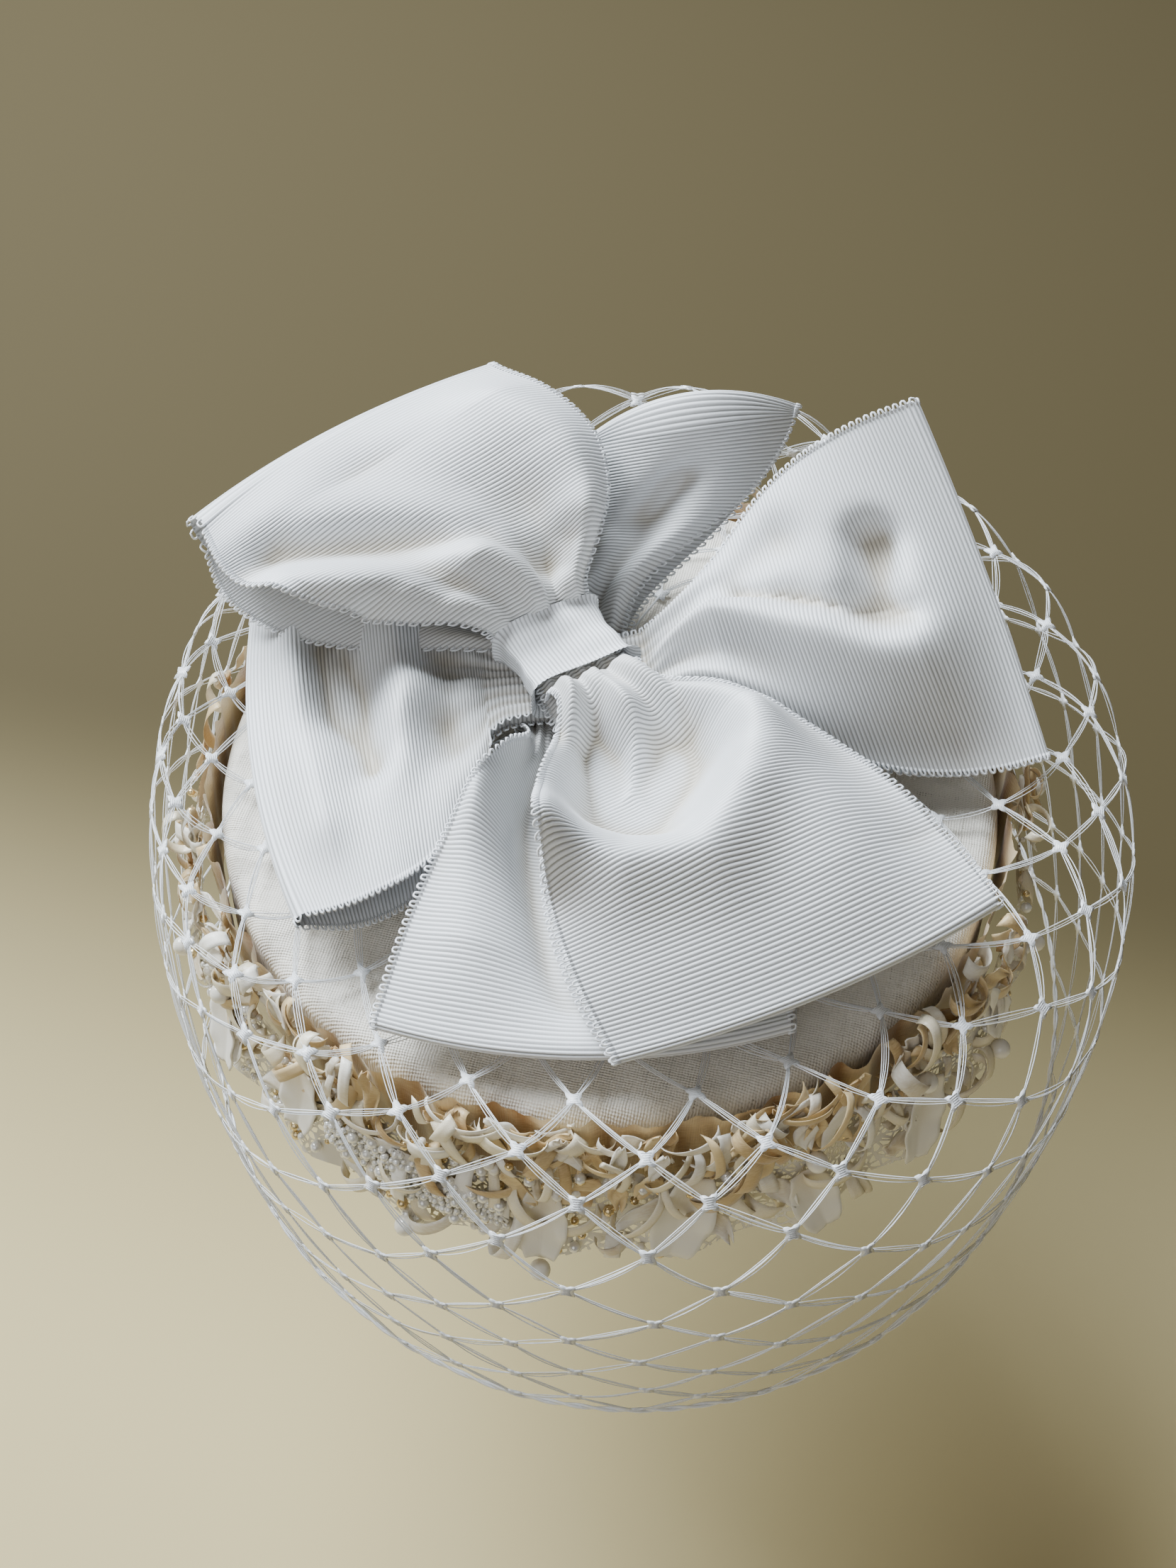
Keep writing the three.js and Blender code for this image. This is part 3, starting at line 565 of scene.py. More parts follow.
# path has one row for each place along the ribbon: its layer, how far out it is and its turn round
# the fold, which is nan on the flat layers. t runs across the ribbon from -1 to 1.
def loopGrid(loop, path, t):
    layer, s, turn = path[:, 0], path[:, 1], path[:, 2]
    step = 0.01
    spine = loopSpine(loop, s)
    tangent = unit(loopSpine(loop, s + step) - loopSpine(loop, s - step))
    bank = math.radians(loop["bank"])
    foldAcross = toward(loop["heading"] + 90 + loop["yaw"]) * math.cos(bank)
    foldAcross[2] = math.sin(bank)
    free = heldShare(loop, loop["held"], s)
    opened = heldShare(loop, bow["held"], s)
    blend = smooth(opened)[:, None]
    across = unit(toward(loop["waist"] + 90) * (1 - blend) + foldAcross * blend)
    normal = unit(np.cross(tangent, across))
    spread = column(loopSections, "spread", opened ** loop["flare"])
    half = bow["width"] / 2 * (bow["waistShare"] + (loop["width"] - bow["waistShare"]) * spread)
    wave = (loop["pleat"] * column(loopSections, "pleat", free)[:, None]
            * np.cos(tau * (t - loop["phase"]) / loop["pitch"]))
    near = np.exp(-((s * loop["reach"] / bow["gatherReach"]) ** 2))[:, None]
    gather = loop["gather"] * near * np.cos(tau * t / bow["gatherPitch"] + 3 * np.sin(2.3 * t))
    # the fold's round end, which is fuller towards one edge of the ribbon
    flat = np.isnan(turn)
    angle = np.where(flat, 0, turn)
    outer = smooth(np.clip((s - 0.55) / 0.45, 0, 1))[:, None]
    radius = bow["foldRadius"] + loop["puff"] * outer * np.clip(t * 0.5 + 0.5, 0, 1) ** 2
    offset = loop["curl"] * opened[:, None] ** 3 * (1 - t * t)
    offset = offset + radius * np.where(flat, layer, np.sin(angle))[:, None]
    past = loop["bow"] * (1 - t * t) * s[:, None] ** 3
    past = past + radius * np.where(flat, 0, np.cos(angle))[:, None]
    past = past - (radius - bow["foldRadius"]) * outer
    # the layers' own heights
    lift = column(loopSections, "lift", free)[:, None]
    crest = loop["crest"] * lift * (1 - loop["lean"] * t) * (1 - 0.25 * t * t) + wave
    crest = addFolds(loop, crest, s, t, free, half)
    below = wave * column(loopSections, "tie", free)[:, None] - loop["belly"] * lift
    offset = offset + np.where(((layer > 0) & flat)[:, None], crest, below) + gather
    flank = bowFlanks.get(loop["node"], plainFlank)
    edge = np.clip(flank["side"] * t, 0, 1) ** 2
    swell = np.sin(math.pi * free ** flank["early"])[:, None] * edge
    offset = offset + flank["higher"] * swell
    wide = half[:, None] * t + flank["side"] * flank["wider"] * swell
    return (spine[:, None] + tangent[:, None] * past[..., None]
            + across[:, None] * wide[..., None] + normal[:, None] * offset[..., None])


# out along the lower layer, round the fold and back along the upper layer
def ribbonPath():
    out = np.linspace(0, 1, 400)
    turn = np.linspace(-tau / 4, tau / 4, 25)[1:-1]
    lower = np.stack([0 * out - 1, out, 0 * out + np.nan], -1)
    fold = np.stack([0 * turn - 1, 0 * turn + 1, turn], -1)
    upper = np.stack([0 * out + 1, out[::-1], 0 * out + np.nan], -1)
    return np.concatenate([lower, fold, upper])


# places along the ribbon at an even number of samples to each rib, and the ribbon's length there
def ribPlaces(loop, path):
    rough = loopGrid(loop, path, np.linspace(-1, 1, 9))
    steps = np.linalg.norm(np.diff(rough, axis=0), axis=-1).mean(axis=1)
    length = np.concatenate([[0], np.cumsum(steps)])
    ribs = round(length[-1] / bow["ribPitch"])
    along = np.linspace(0, length[-1], ribs * bow["ribSamples"] + 1)
    index = np.interp(along, length, np.arange(len(path)))
    low = np.minimum(index.astype(int), len(path) - 2)
    part = (index - low)[:, None]
    a, b = path[low], path[low + 1]
    between = a * (1 - part) + b * part
    swap = np.isnan(between[:, 2]) & ~(np.isnan(a[:, 2]) & np.isnan(b[:, 2]))
    between[swap] = np.where(part[swap] < 0.5, a[swap], b[swap])
    return between, along, ribs


# 0 in the grooves and 1 on the crests of the ribs, for their relief and as the mask of the painted
# groove shade
def ribShare(along, length, ribs):
    return np.abs(np.sin(tau / 2 * along / length * ribs)) ** 0.7


# one loop of edge thread for each two ribs: each corner is its reach outward in mm and its place
# along the edge in ribs. The tone is where the threads' colour lies between the painted groove
# shade at 0 and the crests' white at 1
threadLoop = {
    "radius": 0.24, "sides": 4, "tone": 0.85,
    "corners": [(-0.5, 0.50), (0.35, 0.46), (0.82, 0.62), (0.98, 1.00), (0.82, 1.38), (0.35, 1.54),
                (-0.5, 1.50)],
}


def selvedge(edge, outward, normal, ribs):
    starts = np.arange(ribs // 2) * 2
    paths, normals = [], []
    for reach, along in threadLoop["corners"]:
        place = np.clip((starts + along) * bow["ribSamples"], 0, len(edge) - 1)
        low = np.minimum(place.astype(int), len(edge) - 2)
        part = (place - low)[:, None]
        paths.append(edge[low] * (1 - part) + edge[low + 1] * part + outward[low] * reach)
        normals.append(normal[low])
    paths, normals = np.stack(paths, 1), np.stack(normals, 1)
    run = unit(np.gradient(paths, axis=1))
    return tubes(paths, unit(np.cross(run, normals)), normals, threadLoop["radius"],
                 threadLoop["sides"])


# how far each point of a grid lies below the even surface round it, in mm
def hollowDepth(points, outward, rows, columns):
    even = points
    for axis, reach in ((0, rows), (1, columns)):
        rim = [(0, 0)] * 3
        rim[axis] = (reach, reach)
        total = np.cumsum(np.pad(even, rim, mode="edge"), axis=axis)
        count = points.shape[axis]
        even = (np.take(total, np.arange(count) + 2 * reach, axis)
                - np.take(total, np.arange(count), axis)) / (2 * reach)
    return ((even - points) * outward).sum(-1)


def makeLoop(loop):
    path, along, ribs = ribPlaces(loop, ribbonPath())
    t = np.linspace(-1, 1, (bow["fineColumns"] if loop["fine"] else bow["columns"]) + 1)
    points = loopGrid(loop, path, t)
    normal = gridNormals(points)
    rib = ribShare(along, along[-1], ribs)
    points = points - normal * (bow["ribHeight"] * (rib - 0.5))[:, None, None]
    # painted shade: the tone is high near the knot and where the ribbon lies below the even surface
    # round it, and darkens and warms its colour there
    near = np.clip(1 - path[:, 1] * loop["reach"] / shade["knotReach"], 0, 1)
    columns = round(shade["hollowReach"] * len(t) / bow["width"])
    rows = round(shade["hollowReach"] / bow["ribPitch"] * bow["ribSamples"])
    hollow = hollowDepth(points, -normal, rows, columns) / shade["hollowDepth"]
    deep = shade["knot"] * near[:, None] + shade["hollow"] * np.clip(hollow, 0, 1)
    uvs = np.stack(np.meshgrid(along * mm, t * bow["width"] / 2 * mm, indexing="ij")[::-1], -1)
    faces = [face[::-1] for face in gridFaces(len(path), len(t))]
    piece = addMesh(loop["piece"], points, faces, grosgrain, uvs, np.clip(deep, 0, 1),
                    rib[:, None] * np.ones(len(t)))
    edges = []
    for side, inner in ((0, 1), (-1, -2)):
        outward = unit(points[:, side] - points[:, inner])
        edges.append(selvedge(points[:, side], outward, normal[:, side], ribs))
    edging, edgingFaces = joined(edges)
    looped = addMesh(loop["piece"] + "Selvedge", edging, edgingFaces, grosgrain,
                     ribs=np.full(len(edging), threadLoop["tone"]))
    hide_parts(loop["node"])
    print(f"{loop['piece']}: ribbon {along[-1]:.0f} mm long, {ribs} ribs")


for loop in loops:
    makeLoop(loop)

# the knot: a flat ring of ribbon round the waists of the top pair, a little swollen and wrinkled
knot = {
    "sideRoom": 1.4, "heightRoom": 1.3, "deeper": 1.8, "squareness": 0.42, "columns": 24,
    "swell": 0.9, "wrinkle": 0.18, "pinch": 1.44, "wave": 0.6,
}


def makeKnot():
    wall = bow["knotWall"]
    halfWide = bow["width"] / 2 * bow["waistShare"] + knot["sideRoom"] + wall / 2
    low = bow["foldRadius"] + bow["wall"] / 2 + knot["heightRoom"] + wall / 2
    tall = low + knot["deeper"] / 2
    axis, across = toward(loops[0]["waist"]), toward(loops[0]["waist"] + 90)
    up = np.array([0, 0, 1.0])
    middle = np.array([bow["knotX"], bow["knotY"], waistLevel(3) + knot["deeper"] / 2])
    turn = np.linspace(0, 1, 2001) * tau
    c, s = np.cos(turn), np.sin(turn)
    flat = np.stack([halfWide * np.sign(c) * np.abs(c) ** knot["squareness"],
                     tall * np.sign(s) * np.abs(s) ** knot["squareness"]], -1)
    length = np.concatenate([[0], np.cumsum(np.linalg.norm(np.diff(flat, axis=0), axis=-1))])
    ribs = round(length[-1] / bow["ribPitch"])
    count = ribs * bow["ribSamples"]
    along = np.arange(count) / count * length[-1]
    w, z = (np.interp(along, length, flat[:, k])[:, None] for k in (0, 1))
    v = np.linspace(-0.5, 0.5, knot["columns"] + 1)
    points = (middle + across * w[..., None] + axis * (-v * bow["knotLength"])[:, None]
              + up * z[..., None])
    rib = ribShare(along, length[-1], ribs)[:, None] * np.ones(len(v))
    swell = (knot["swell"] * np.cos(v * tau / 2) - knot["pinch"] * np.abs(2 * v) ** 8
             + knot["wrinkle"] * np.sin(v * tau * 2.2 + 0.6))
    raised = bow["ribHeight"] * (rib - 0.5) + swell
    wave = knot["wave"] * np.sin(v * tau * 0.7 + 2.2 * w / halfWide) * np.clip(z / tall, 0, 1)
    points = points + gridNormals(points, ring=True) * raised[..., None] + up * wave[..., None]
    uvs = np.stack(np.meshgrid(along * mm, v * bow["knotLength"] * mm, indexing="ij")[::-1], -1)
    piece = addMesh("knotBand", points, gridFaces(count, len(v), ring=True), grosgrain, uvs,
                    np.zeros((count, len(v))), rib)
    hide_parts("knot_band")
    print(f"knot band: {length[-1]:.0f} mm round")


makeKnot()

crown = {
    "around": 200, "underRings": 12, "edgeSteps": 8, "topRings": 46, "middle": 0.02, "rim": 0.4,
    "innerEdge": 0.8, "crumple": 0.26, "evenBelow": 36.0,
}
# the linen's long folds and its small creases: size in x, y and z, shift and share of the crumple
crumples = [(17, 11, 30, 0, 0.75), (6, 7, 20, 9, 0.35)]


def crownRadius(z):
    share = np.clip(np.asarray(z, float) / hat["height"], 0, 1)
    return hat["rimRadius"] + (hat["topRadius"] - hat["rimRadius"]) * share


# the crown's outline is turned from under its top, down inside, round the rim and up to the middle
def makeCrown():
    top, wall, edge, rim = hat["topRadius"], hat["wall"], hat["edgeRadius"], crown["rim"]
    inner = max(edge - wall, crown["innerEdge"])
    under, height, rimRadius = hat["height"] - wall, hat["height"], hat["rimRadius"]
    angles = np.linspace(tau / 4, 0, crown["edgeSteps"] + 1)
    underside = np.linspace(crown["middle"], top - wall - inner, crown["underRings"])[:-1]
    upside = np.linspace(top - edge, crown["middle"], crown["topRings"])[1:]
    profile = [(r, under) for r in underside]
    profile += [(top - wall - inner + inner * math.cos(a), under - inner + inner * math.sin(a))
                for a in angles]
    profile += [(rimRadius - wall, rim), (rimRadius - wall + rim, 0), (rimRadius - rim, 0),
                (rimRadius, rim)]
    profile += [(top - edge + edge * math.cos(a), height - edge + edge * math.sin(a))
                for a in angles[::-1]]
    profile += [(r, height) for r in upside]
    turn = np.arange(crown["around"])[:, None] / crown["around"] * tau
    radius, z = np.array(profile).T
    points = onCircle(radius, turn, z)
    outside = crown["underRings"] + crown["edgeSteps"] + 1
    for outline in points[:, outside:]:
        for place in outline:
            x, y, z = place
            if z > crown["evenBelow"]:
                place[2] += crown["crumple"] * sum(
                    share * noise.noise(Vector((x / wide + shift, y / deep, z / tall)))
                    for wide, deep, tall, shift, share in crumples)
    faces = [face[::-1] for face in gridFaces(crown["around"], len(profile), ring=True)]
    piece = addMesh("crownCloth", points, faces, linen)
    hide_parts("crown")
    print("crown made")


makeCrown()

ruffle = {
    "wall": 1.2, "bottom": 18.0, "stand": 3.0, "wave": 1.3, "waves": 32, "columns": 20, "rows": 14,
    "sway": 0.9, "nibble": 0.5, "flutter": 1.5, "fray": 0.5, "clothRadius": 85, "clothHeight": 25,
}
frill = {
    "wall": 1.2, "top": 31.0, "bottom": 5.0, "flare": 3.2, "wave": 1.1, "waves": 22, "columns": 24,
    "rows": 24, "scallop": 2.2, "clothRadius": 90, "clothHeight": 27,
}
frill["inner"] = hat["seat"] * 2 + ruffle["wall"] + 2 * ruffle["wave"]


def frillShare(z):
    share = (np.asarray(z, float) - frill["bottom"]) / (frill["top"] - frill["bottom"])
    return np.clip(share, 0, 1)


def frillHeight(share):
    return frill["bottom"] + (frill["top"] - frill["bottom"]) * share


def frillRadius(angle, v, z):
    wave = frill["wave"] * (1 + np.cos(angle * frill["waves"])) * (1 - 0.5 * v)
    flare = frill["flare"] * (1 - v) ** 2
    return crownRadius(z) + frill["inner"] + frill["wall"] / 2 + wave + flare


# the smallest round that the frill's waves fit in, on which all the trim is sewn
def frillEnvelope(z):
    v = frillShare(z)
    wave = 2 * frill["wave"] * (1 - 0.5 * v)
    return crownRadius(z) + frill["inner"] + frill["wall"] + wave + frill["flare"] * (1 - v) ** 2


def roundCloth(sheet):
    count = sheet["waves"] * sheet["columns"]
    angle = (np.arange(count) / count * tau)[:, None]
    v = np.linspace(0, 1, sheet["rows"] + 1)
    flatCloth = (angle * sheet["clothRadius"] * mm, v * sheet["clothHeight"] * mm)
    uvs = np.stack(np.broadcast_arrays(*flatCloth), -1)
    return angle, v, uvs, gridFaces(count, len(v), ring=True)


# the ruffle stands free above the crown's edge, with uneven waves and a nibbled top edge
def makeRuffle():
    angle, v, uvs, faces = roundCloth(ruffle)
    rise = hat["height"] + ruffle["stand"] - ruffle["bottom"]
    z = ruffle["bottom"] + rise * v + ruffle["sway"] * v * np.sin(angle * 7 + 1)
    z = z + ruffle["nibble"] * v * np.sin(angle * 53) * np.sin(angle * 11)
    swing = np.sin(angle * ruffle["waves"] + 1.3 * np.sin(angle * 5) + 0.8 * np.sin(angle * 13 + 1))
    swing = swing * (0.65 + 0.35 * np.sin(angle * 7 + 2)) + 0.25 * np.sin(angle * 79 + 6 * v)
    wave = ruffle["wave"] * (1 + np.clip(swing, -1, 1)) * (0.25 + 0.75 * v)
    z = z + v**2 * (ruffle["flutter"] * np.sin(angle * 41 + 2) * np.sin(angle * 17)
                    + ruffle["fray"] * np.sin(angle * 143))
    points = onCircle(crownRadius(z) + hat["seat"] + ruffle["wall"] / 2 + wave, angle, z)
    # painted shade: the tone is low in the hollows between the waves and towards the ruffle's foot,
    # which the organza colours deeper amber
    tone = 0.5 + 0.5 * swing * np.ones_like(v) - 0.25 * (1 - v)
    piece = addMesh("amberRuffle", points, faces, organza, uvs, tone)
    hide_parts("amber_ruffle")
    print("amber ruffle made")


def makeFrill():
    angle, v, uvs, faces = roundCloth(frill)
    scallop = frill["scallop"] * np.abs(np.sin(angle * frill["waves"] / 2)) * (1 - v)
    z = frillHeight(v) + scallop
    piece = addMesh("laceFrill", onCircle(frillRadius(angle, v, z), angle, z), faces, lace, uvs)
    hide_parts("lace_frill")
    print("lace frill made")


# petals and pearls: the wave of the frill that each sits on, and its height as a share of the frill
petalShape = {
    "length": 19.0, "width": 11.0, "wall": 1.1, "cloth": 0.7, "drop": 3.0, "curl": 0.1,
    "ripple": 0.35, "tip": 0.5, "crease": 0.225,
}
petals = table(
    "crest height size roll",
    (12, 0.60, 0.80, 24), (13, 0.42, 0.95, -18), (14, 0.66, 0.90, 0), (16, 0.40, 0.90, 0),
    (17, 0.50, 1.10, 14), (18, 0.26, 0.90, -14), (19, 0.40, 1.00, 20), (20, 0.62, 0.85, -16),
    (0, 0.50, 0.80, 15), (3, 0.55, 0.80, -15), (6, 0.50, 0.80, 18), (9, 0.55, 0.80, -15),
)
pearls = table(
    "crest height",
    (11, 0.30), (12, 0.25), (13, 0.98), (15, 0.10), (16, 0.04), (18, 0.86), (19, 1.00), (20, 0.25),
    (21, 0.30), (0, 1.05),
)
pearlRadius = 2.1


# a closed sheet: its upper and lower faces meet in a thin rounded edge
def thickSheet(middle, wall):
    rows, columns = middle.shape[:2]
    normal = gridNormals(middle)
    i = np.minimum(np.arange(rows), np.arange(rows)[::-1])[:, None]
    j = np.minimum(np.arange(columns), np.arange(columns)[::-1])
    body = np.minimum(1, np.minimum(i, j) / 2 + 0.35)[..., None] * wall / 2
    points = np.concatenate([middle + normal * body, middle - normal * body])
    front = gridFaces(rows, columns)
    size = rows * columns
    faces = front + [[k + size for k in face[::-1]] for face in front]
    ids = np.arange(size).reshape(rows, columns)
    rim = [*ids[0], *ids[1:, -1], *ids[-1, -2::-1], *ids[-2:0:-1, 0]]
    faces += [[int(k) for k in (a, b, b + size, a + size)] for a, b in zip(rim, rim[1:] + rim[:1])]
    return points.reshape(-1, 3), faces


def makePetal(number, row):
    length, width = petalShape["length"] * row["size"], petalShape["width"] * row["size"]
    lean = math.radians(row["roll"])
    crest = row["crest"] * tau / frill["waves"]
    u, v = np.linspace(0, 1, 25)[:, None], np.linspace(0, 1, 15)
    aside = 2 * v - 1
    w = aside * width / 2 * (0.3 + 0.7 * np.sin(math.pi * (0.12 + 0.76 * u)))
    drop = (u - 0.5) * length
    middle = frillHeight(row["height"]) + petalShape["drop"]
    z = middle - drop * math.cos(lean) - w * math.sin(lean)
    lift = (petalShape["curl"] * length * np.maximum(u - 0.35, 0)
            + w * w / (1.6 * petalShape["width"]))
    lift = lift + petalShape["ripple"] * aside**2 * np.sin(u * 17 + number)
    lift = lift + petalShape["tip"] * u**3
    crease = petalShape["crease"] * np.exp(-((aside / 0.18) ** 2)) * (0.3 + u)
    radius = frillEnvelope(z) + hat["seat"] + petalShape["wall"] / 2 + lift - crease
    angle = crest + (w * math.cos(lean) - drop * math.sin(lean)) / radius
    points, faces = thickSheet(onCircle(radius, angle, z), petalShape["cloth"])
    tone = 0.15 + 0.5 * u + 0.25 * np.abs(aside)
    piece = addMesh(f"petalCloth_{number}", points, faces, creamCloth,
                    tones=np.concatenate([tone, tone]))
    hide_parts(f"petal_{number}")


def makePearlBead(number, row):
    z = frillHeight(row["height"])
    radius = frillEnvelope(z) + hat["seat"] + pearlRadius
    centre = onCircle(radius, row["crest"] * tau / frill["waves"], z)
    points, faces = ballShape(16, 24)
    piece = addMesh(f"pearlBead_{number}", points * pearlRadius + centre, faces, pearl)
    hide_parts(f"pearl_{number}")


# the straw curls stand up from the frill's top edge and bend over, to the left or the right
curlShape = {"size": 6.0, "radius": 0.9, "wide": 0.95, "thin": 0.42, "twist": 0.135, "sides": 10}
curls = table("turn up hand", (270, 0.5, 1), (286, 0.5, -1), (302, 0.5, 1))
curlBends = table(
    "at side up off",
    (0.0, -0.33, 1, 0.03),
    (0.33, 0.33, 0.5, 0.1),
    (0.67, 0.25, -0.33, 0.15),
    (1.0, -0.25, -1, 0),
)


def makeCurl(number, row):
    at = np.linspace(0, 1, 33)
    sides, radius = curlShape["sides"], curlShape["radius"]
    side, up, off = (column(curlBends, name, at) for name in ("side", "up", "off"))
    z = frill["top"] + (row["up"] + up) * curlShape["size"]
    angle = side * curlShape["size"] * row["hand"] / hat["rimRadius"] + math.radians(row["turn"])
    v = (z - frill["bottom"]) / (frill["top"] - frill["bottom"])
    surface = np.where(v < 1, frillRadius(angle, v, z) + frill["wall"] / 2, frillEnvelope(z))
    surface = surface + hat["seat"] + radius + off * curlShape["size"]
    centre = onCircle(surface, angle, z)
    out = unit(onCircle(1.0, angle, 0 * z))[:, None]
    run = unit(np.gradient(centre, axis=0))
    across = unit(np.cross(run, out[:, 0]))[:, None]
    turn = (np.arange(sides) / sides * tau)[:, None]
    ring = np.cos(turn) * curlShape["wide"] * across + np.sin(turn) * curlShape["thin"] * out
    ring = ring + curlShape["twist"] * np.sin(at * 5)[:, None, None] * out
    points = (centre[:, None] + ring * radius).reshape(-1, 3)
    faces = [[i * sides + j, i * sides + (j + 1) % sides, (i + 1) * sides + (j + 1) % sides,
              (i + 1) * sides + j] for i in range(len(at) - 1) for j in range(sides)]
    faces += [list(range(sides))[::-1], [len(points) - sides + j for j in range(sides)]]
    piece = addMesh(f"strawStrip_{number}", points, faces, straw)
    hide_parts(f"straw_curl_{number}")


applique = {
    "length": 40.0, "height": 13.0, "wall": 1.2, "cloth": 0.5, "turn": 245.5, "rise": 0.62,
    "slope": 5.0, "ripple": 0.7, "beads": 190, "sizes": [0.55, 0.7, 0.7, 0.9, 1.25], "seed": 5,
}


def appliquePoint(u, v):
    taper = 0.45 + 0.55 * np.sin(math.pi * np.clip(u, 0.04, 0.96))
    z = (frillHeight(applique["rise"]) + (0.5 - u) * applique["slope"]
         + (v - 0.5) * applique["height"] * taper)
    inside = np.clip(np.minimum(v, 1 - v) * 6, 0.3, 1)
    ripple = applique["ripple"] * (1 + np.sin(u * 3 * tau)) * inside
    radius = frillEnvelope(z) + hat["seat"] + applique["wall"] / 2 + ripple
    angle = math.radians(applique["turn"]) + (u - 0.5) * applique["length"] / radius
    return onCircle(radius, angle, z)


# beads pushed a little out of the cloth that they are sewn to
def scatterBeads(centres, outward, sizes):
    points, faces = ballShape(6, 8)
    return joined([(points * size + centre + out * size * 0.6, faces)
                   for centre, out, size in zip(centres, outward, sizes)])


def makeApplique():
    draw = random.Random(applique["seed"])
    u, v = np.linspace(0, 1, 61)[:, None], np.linspace(0, 1, 21)
    points, faces = thickSheet(appliquePoint(u, v), applique["cloth"])
    flatCloth = (u * applique["length"] * mm, v * applique["height"] * mm)
    uvs = np.stack(np.broadcast_arrays(*flatCloth), -1)
    ground = addMesh("beadedApplique", points, faces, lace, np.concatenate([uvs, uvs]))
    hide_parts("beaded_applique")
    centres, outward, sizes = [], [], []
    while len(centres) < applique["beads"]:
        centre = appliquePoint(draw.uniform(0.03, 0.97), draw.uniform(0.05, 0.95))
        size = draw.choice(applique["sizes"])
        if all(np.linalg.norm(centre - other) > 0.8 * (size + theirs)
               for other, theirs in zip(centres, sizes)):
            centres.append(centre)
            outward.append(unit(centre * np.array([1, 1, 0])))
            sizes.append(size)
    beads = addMesh("appliqueBeads", *scatterBeads(centres, outward, sizes), crystal)
    print(f"applique made with {len(centres)} beads")


# narrow curled strips, small leaves, seed beads and gilt beads sewn all over the garland. Lengths
# are the lowest and highest of a range in mm, and every third strip and second leaf is set on top.
garland = {"strips": 210, "leaves": 130, "beads": 520, "seed": 11, "cloth": 0.34}
strip = {
    "radius": (2.2, 4.6), "bend": (1.2, 2.3), "width": (1.6, 3.6), "twist": 0.7, "skew": 0.5,
    "stretch": (1.0, 1.7), "lean": 1.5, "paleZ": (9, 41), "tanZ": (24, 42), "inward": (0.5, 1.5),
    "topZ": (38.5, 42), "topInward": (1.5, 5),
}
leaf = {
    "length": (6, 12), "width": (3.5, 6.5), "wrinkle": (0.2, 0.5), "cup": (-0.4, 1.1),
    "tip": (0.3, 2.4), "lean": 1.4, "paleZ": (10, 40), "tanZ": (26, 41), "topZ": (37, 41),
    "topInward": (1, 3.5),
}
seedBead = {"sizes": [0.6, 0.75, 0.9, 1.2], "leftTurn": (212, 8), "frontTurn": (252, 15)}


# more of the garland's trim sits at the front and left than at the back
def garlandAngle(draw):
    return math.radians(draw.uniform(190, 335)) if draw.random() < 0.6 else draw.uniform(0, tau)


def overFrill(angle, z, along, side, off, lean):
    high = z - along * math.cos(lean) - side * math.sin(lean)
    radius = frillEnvelope(high) + off
    turned = angle + (side * math.cos(lean) - along * math.sin(lean)) / radius
    return onCircle(radius, turned, high)


# adds one thick sheet and its tone to a kind of trim
def addTrim(kind, middle, tone):
    kind["parts"].append(thickSheet(middle, garland["cloth"]))
    kind["tones"].append(np.concatenate([tone, tone]).ravel())


def makeStrips():
    draw = random.Random(garland["seed"])
    names = ["creamStrips", "paleStrips", "tanStrips"]
    made = {name: {"parts": [], "tones": []} for name in names}
    u, v = np.linspace(-1, 1, 17)[:, None], np.linspace(-0.5, 0.5, 4)
    for k in range(garland["strips"]):
        name = draw.choice(names)
        radius, bend = draw.uniform(*strip["radius"]), draw.uniform(*strip["bend"])
        width, twist = draw.uniform(*strip["width"]), draw.uniform(-strip["twist"], strip["twist"])
        skew = draw.uniform(-strip["skew"], strip["skew"])
        turn = u * bend
        along = radius * np.sin(turn) * draw.uniform(*strip["stretch"])
        off = 0.2 + 0.8 * radius * (np.cos(turn) - math.cos(bend)) + v * width * np.sin(twist * u)
        side = v * width * np.cos(twist * u) + skew * radius * u**2
        z = draw.uniform(*strip["tanZ" if name == "tanStrips" else "paleZ"])
        inward = draw.uniform(*strip["inward"])
        if k % 3 == 0:
            z, inward = draw.uniform(*strip["topZ"]), draw.uniform(*strip["topInward"])
        angle, lean = garlandAngle(draw), draw.uniform(-strip["lean"], strip["lean"])
        tone = draw.uniform(0.1, 0.6) + 0.3 * np.abs(u) * np.ones(4)
        addTrim(made[name], overFrill(angle, z, along, side, off - inward, lean), tone)
    for name, material, slot in zip(names, (straw, creamCloth, tanCloth),
                                    ("straw", "petal_cloth", "petal_cloth")):
        piece = addMesh(name, *joined(made[name]["parts"]), material,
                        tones=np.concatenate(made[name]["tones"]))
    print("strips made")


